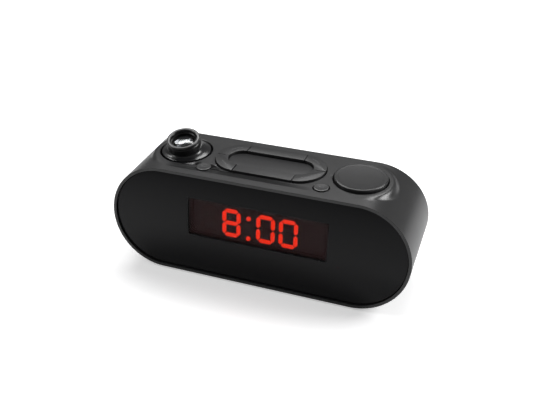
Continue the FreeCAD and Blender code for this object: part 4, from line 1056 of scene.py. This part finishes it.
@dataclass
class Projector:
    """Swivelling turret with its leaning focus ring, lens and reflector."""

    layout: Layout
    tilt: float = math.radians(13.0)
    pivot: float = 6.0 * MM
    skirt_radius: float = 16.8 * MM
    collar: float = 10.7 * MM
    ring_radius: float = 11.3 * MM
    reach: float = 17.4 * MM
    bore: float = 8.6 * MM
    sleeve: float = 8.7 * MM

    def along(self, distance: float) -> Point:
        """Point on the leaning barrel axis."""
        return (-self.layout.platform_x, self.layout.control_y - distance * math.sin(self.tilt),
                self.layout.top - self.pivot + distance * math.cos(self.tilt))

    def skirt(self) -> bpy.types.Object:
        """Drum whose flared top leans more and more towards the barrel.

        Returns:
            The turret's shell.
        """
        foot = 0.35 * MM
        rise = self.collar * math.cos(self.tilt) - self.pivot - foot
        outside = [(9.0 * MM, -7.7 * MM), (self.skirt_radius, -7.7 * MM), (self.skirt_radius, foot - 0.5 * MM),
                   (self.skirt_radius - 0.1 * MM, foot - 0.15 * MM), (self.skirt_radius - 0.45 * MM, foot)]
        steps = 14
        last = self.ring_radius + 0.2 * MM
        for step in range(1, steps + 1):
            share = step / steps
            radius = last + (self.skirt_radius - 0.45 * MM - last) * (1.0 - share) ** 1.8
            outside.append((radius, foot + rise * share))
        outside += [(last - 0.3 * MM, foot + rise + 0.12 * MM), (9.0 * MM, foot + rise + 0.12 * MM),
                    (9.0 * MM, -7.7 * MM)]
        shell = Bench.lathe("turret_shell", outside, steps=144)
        for vertex in shell.data.vertices:
            share = min(1.0, max(0.0, (vertex.co.z - foot) / rise))
            away = self.pivot + vertex.co.z
            angle = self.tilt * share
            y, z = vertex.co.y, vertex.co.z
            vertex.co.y = y * math.cos(angle) - away * math.sin(angle)
            vertex.co.z = z + y * math.sin(angle)
        shell.data.transform(Matrix.Translation((-self.layout.platform_x, self.layout.control_y, self.layout.top)))
        return shell

    def build(self) -> None:
        """Model the turret, focus ring, reflector and lens."""
        shell = self.skirt()
        neck = Bench.lathe("neck", [(10.6 * MM, -12.0 * MM), (12.6 * MM, -12.0 * MM), (12.6 * MM, -7.0 * MM),
                                    (10.6 * MM, -7.0 * MM), (10.6 * MM, -12.0 * MM)],
                           (-self.layout.platform_x, self.layout.control_y, self.layout.top), steps=96)
        turret = Bench.weld([shell, neck], "turret_shell")
        Bench.finish(turret, PALETTE.gloss, "projector", "gloss_black", angle=40.0)
        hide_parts("turret")
        top = self.reach
        base = self.collar + 0.2 * MM
        outer = self.ring_radius
        start = self.sleeve
        profile = [(7.6 * MM, start), (8.9 * MM, start), (8.9 * MM, base), (outer - 0.25 * MM, base),
                   (outer, base + 0.25 * MM), (outer - 0.05 * MM, top - 2.6 * MM), (outer - 0.35 * MM, top - 2.3 * MM),
                   (outer - 0.35 * MM, top - 2.0 * MM), (outer, top - 1.7 * MM), (outer, top - 0.7 * MM),
                   (outer - 0.2 * MM, top - 0.25 * MM), (outer - 0.7 * MM, top), (self.bore + 0.9 * MM, top),
                   (self.bore + 0.35 * MM, top - 0.25 * MM), (self.bore, top - 0.8 * MM),
                   (self.bore, top - 2.4 * MM), (self.bore - 0.35 * MM, top - 2.6 * MM),
                   (self.bore - 0.35 * MM, top - 2.9 * MM), (self.bore, top - 3.1 * MM),
                   (self.bore, top - 6.9 * MM), (7.6 * MM, top - 6.9 * MM), (7.6 * MM, start)]
        ring = Bench.lathe("focus_hood", profile, self.along(0.0), self.tilt, steps=144)
        Bench.finish(ring, PALETTE.hood, "focus", "gloss_black", angle=40.0)
        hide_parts("focus_ring")
        self.optics()

    def optics(self) -> None:
        """Clear domed lens over a faceted silver reflector in its cell."""
        seat = self.reach - 3.4 * MM - 1.2 * MM
        lens_radius = 7.3 * MM
        dome = [(0.0, seat), (lens_radius, seat), (lens_radius, seat + 0.3 * MM)]
        for share in (0.92, 0.8, 0.65, 0.5, 0.35, 0.2, 0.0):
            dome.append((lens_radius * share, seat + 0.3 * MM + 1.5 * MM * (1.0 - share ** 2)))
        lens = Bench.lathe("dome_lens", dome, self.along(0.0), self.tilt, steps=96)
        Bench.finish(lens, ClearLens(), "objective", "clear_lens", angle=50.0)
        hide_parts("projection_lens")
        cell = Bench.lathe("lens_tube", [(5.7 * MM, seat - 3.4 * MM), (7.5 * MM, seat - 3.4 * MM),
                                         (7.5 * MM, seat - 1.0 * MM), (8.4 * MM, seat - 1.0 * MM), (8.4 * MM, seat),
                                         (7.0 * MM, seat), (5.7 * MM, seat - 1.6 * MM), (5.7 * MM, seat - 3.4 * MM)],
                           self.along(0.0), self.tilt, steps=96)
        Bench.finish(cell, PALETTE.inner, "objective", "inner_plastic", angle=40.0)
        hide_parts("lens_cell")
        facets = Bench.lathe("reflector", [(0.0, seat - 3.0 * MM), (2.1 * MM, seat - 2.9 * MM),
                                           (2.4 * MM, seat - 2.4 * MM), (6.9 * MM, seat - 0.15 * MM),
                                           (6.9 * MM, seat - 0.35 * MM), (2.2 * MM, seat - 3.3 * MM),
                                           (0.0, seat - 3.4 * MM)],
                             self.along(0.0), self.tilt, steps=10)
        Bench.finish(facets, PALETTE.silver, "objective", "clear_lens", angle=5.0)


@dataclass
class CarriedNodes:
    """CAD nodes that keep their shape and get a finish."""

    frame: dict

    def build(self) -> None:
        """Dress every CAD node that no piece replaces."""
        finishes = {
            PALETTE.shell: ("rear_cover", "battery_door"),
            PALETTE.inner: ("display_bracket", "display_module", "key_guide", "battery_tray", "speaker_frame",
                            "power_socket", "key_switches", "encoder", "main_chip", "capacitors"),
            PALETTE.board: ("display_board", "key_board", "encoder_board", "main_board", "lamp_board"),
            PALETTE.steel: ("encoder_shaft", "coin_cell", "speaker_magnet", "cover_screws", "board_screws"),
            PALETTE.rubber: ("foot_1", "foot_2", "foot_3", "foot_4", "aerial_grommet"),
            PALETTE.gloss: ("turret_retainer",),
            PALETTE.lit: ("lit_segments",),
            PALETTE.unlit: ("unlit_segments", "picture_slide"),
            PALETTE.filter: ("red_filter",),
            PALETTE.paper: ("speaker_cone",),
        }
        dressed = {name: finish for finish, names in finishes.items() for name in names}
        for name, node in self.frame["nodes"].items():
            finish = dressed.get(name, PALETTE.inner)
            node.data.materials.clear()
            node.data.materials.append(finish.build())
            log.info("%s dressed as %s", name, finish.name)


# Studio


@dataclass
class Studio:
    """Pale floor, soft light and the camera at the photograph's angle."""

    layout: Layout
    camera_spot: Point = (0.14607, -0.39403, 0.31301)
    right: Point = (0.939628, 0.342111, -0.007690)
    up: Point = (-0.176929, 0.504935, 0.844830)
    forward: Point = (-0.292909, 0.792465, -0.534980)
    lens: float = 49.12
    world: float = 0.19
    floor_lift: float = 0.42

    def camera(self) -> None:
        """Place the camera."""
        data = bpy.data.cameras.new("camera")
        data.lens = self.lens
        data.sensor_width = 36.0
        camera = bpy.data.objects.new("camera", data)
        bpy.context.scene.collection.objects.link(camera)
        back = [-value for value in self.forward]
        rows = [(self.right[i], self.up[i], back[i], self.camera_spot[i]) for i in range(3)]
        camera.matrix_world = Matrix((*rows, (0.0, 0.0, 0.0, 1.0)))
        bpy.context.scene.camera = camera

    def floor(self) -> None:
        """Pale floor with a faint sheen."""
        Bench.clear()
        bpy.ops.mesh.primitive_plane_add(size=8.0, location=(0.0, 0.0, 0.0))
        floor = bpy.context.object
        floor.name = "floor"
        material = bpy.data.materials.new("pale_floor")
        material.use_nodes = True
        weave = Weave(material.node_tree)
        shader = material.node_tree.nodes["Principled BSDF"]
        shader.inputs["Base Color"].default_value = (0.92, 0.92, 0.925, 1.0)
        shader.inputs["Roughness"].default_value = 0.12
        shader.inputs["Specular IOR Level"].default_value = 0.35
        ray = weave.add("ShaderNodeLightPath")
        shader.inputs["Emission Color"].default_value = (1.0, 1.0, 1.0, 1.0)
        lift = weave.add("ShaderNodeMath", operation="MULTIPLY")
        lift.inputs[1].default_value = self.floor_lift
        weave.link(ray.outputs["Is Camera Ray"], lift.inputs[0])
        weave.link(lift.outputs[0], shader.inputs["Emission Strength"])
        floor.data.materials.append(material)

    def sky(self) -> None:
        """World that lights softly and shows white to the camera."""
        world = bpy.data.worlds.new("studio")
        bpy.context.scene.world = world
        world.use_nodes = True
        weave = Weave(world.node_tree)
        background = world.node_tree.nodes["Background"]
        background.inputs["Color"].default_value = (1.0, 1.0, 1.0, 1.0)
        ray = weave.add("ShaderNodeLightPath")
        strength = weave.add("ShaderNodeMapRange", To_Min=self.world, To_Max=1.0)
        weave.link(ray.outputs["Is Camera Ray"], strength.inputs["Value"])
        weave.link(strength.outputs["Result"], background.inputs["Strength"])

    def lamp(self, name: str, spot: Point, target: Point, size: tuple[float, float], power: float) -> None:
        """Add a soft rectangular lamp.

        Args:
            name: Name of the lamp.
            spot: Where it stands.
            target: What it points at.
            size: Width and height.
            power: Watts.
        """
        data = bpy.data.lights.new(name, "AREA")
        data.shape = "RECTANGLE"
        data.size, data.size_y = size
        data.energy = power
        lamp = bpy.data.objects.new(name, data)
        bpy.context.scene.collection.objects.link(lamp)
        way = Vector(target) - Vector(spot)
        lamp.location = spot
        lamp.rotation_mode = "QUATERNION"
        lamp.rotation_quaternion = way.to_track_quat("-Z", "Y")

    def build(self) -> None:
        """Set up the floor, world, lamps and camera."""
        self.floor()
        self.sky()
        self.lamp("overhead", (-0.25, 0.55, 0.95), (0.0, 0.0, 0.06), (1.1, 0.3), 10.0)
        self.lamp("right_bank", (0.85, 0.35, 0.75), (0.09, 0.0, 0.06), (0.35, 0.6), 9.0)
        self.lamp("left_bank", (-0.80, -0.30, 0.75), (-0.05, 0.0, 0.06), (0.3, 0.3), 2.5)
        self.camera()
        scene = bpy.context.scene
        scene.view_settings.view_transform = "Standard"


PALETTE = Palette()


def main() -> None:
    """Build the clock's looks in order."""
    logging.basicConfig(level=logging.INFO, format="%(name)s: %(message)s")
    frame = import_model()
    layout = Layout()
    CarriedNodes(frame).build()
    for part in (HousingShell(layout), FrontFace(layout), ControlGroup(layout), RoundButtons(layout), Dial(layout),
                 Projector(layout), Studio(layout)):
        log.info("building %s", type(part).__name__)
        part.build()


if __name__ == "__main__":
    main()
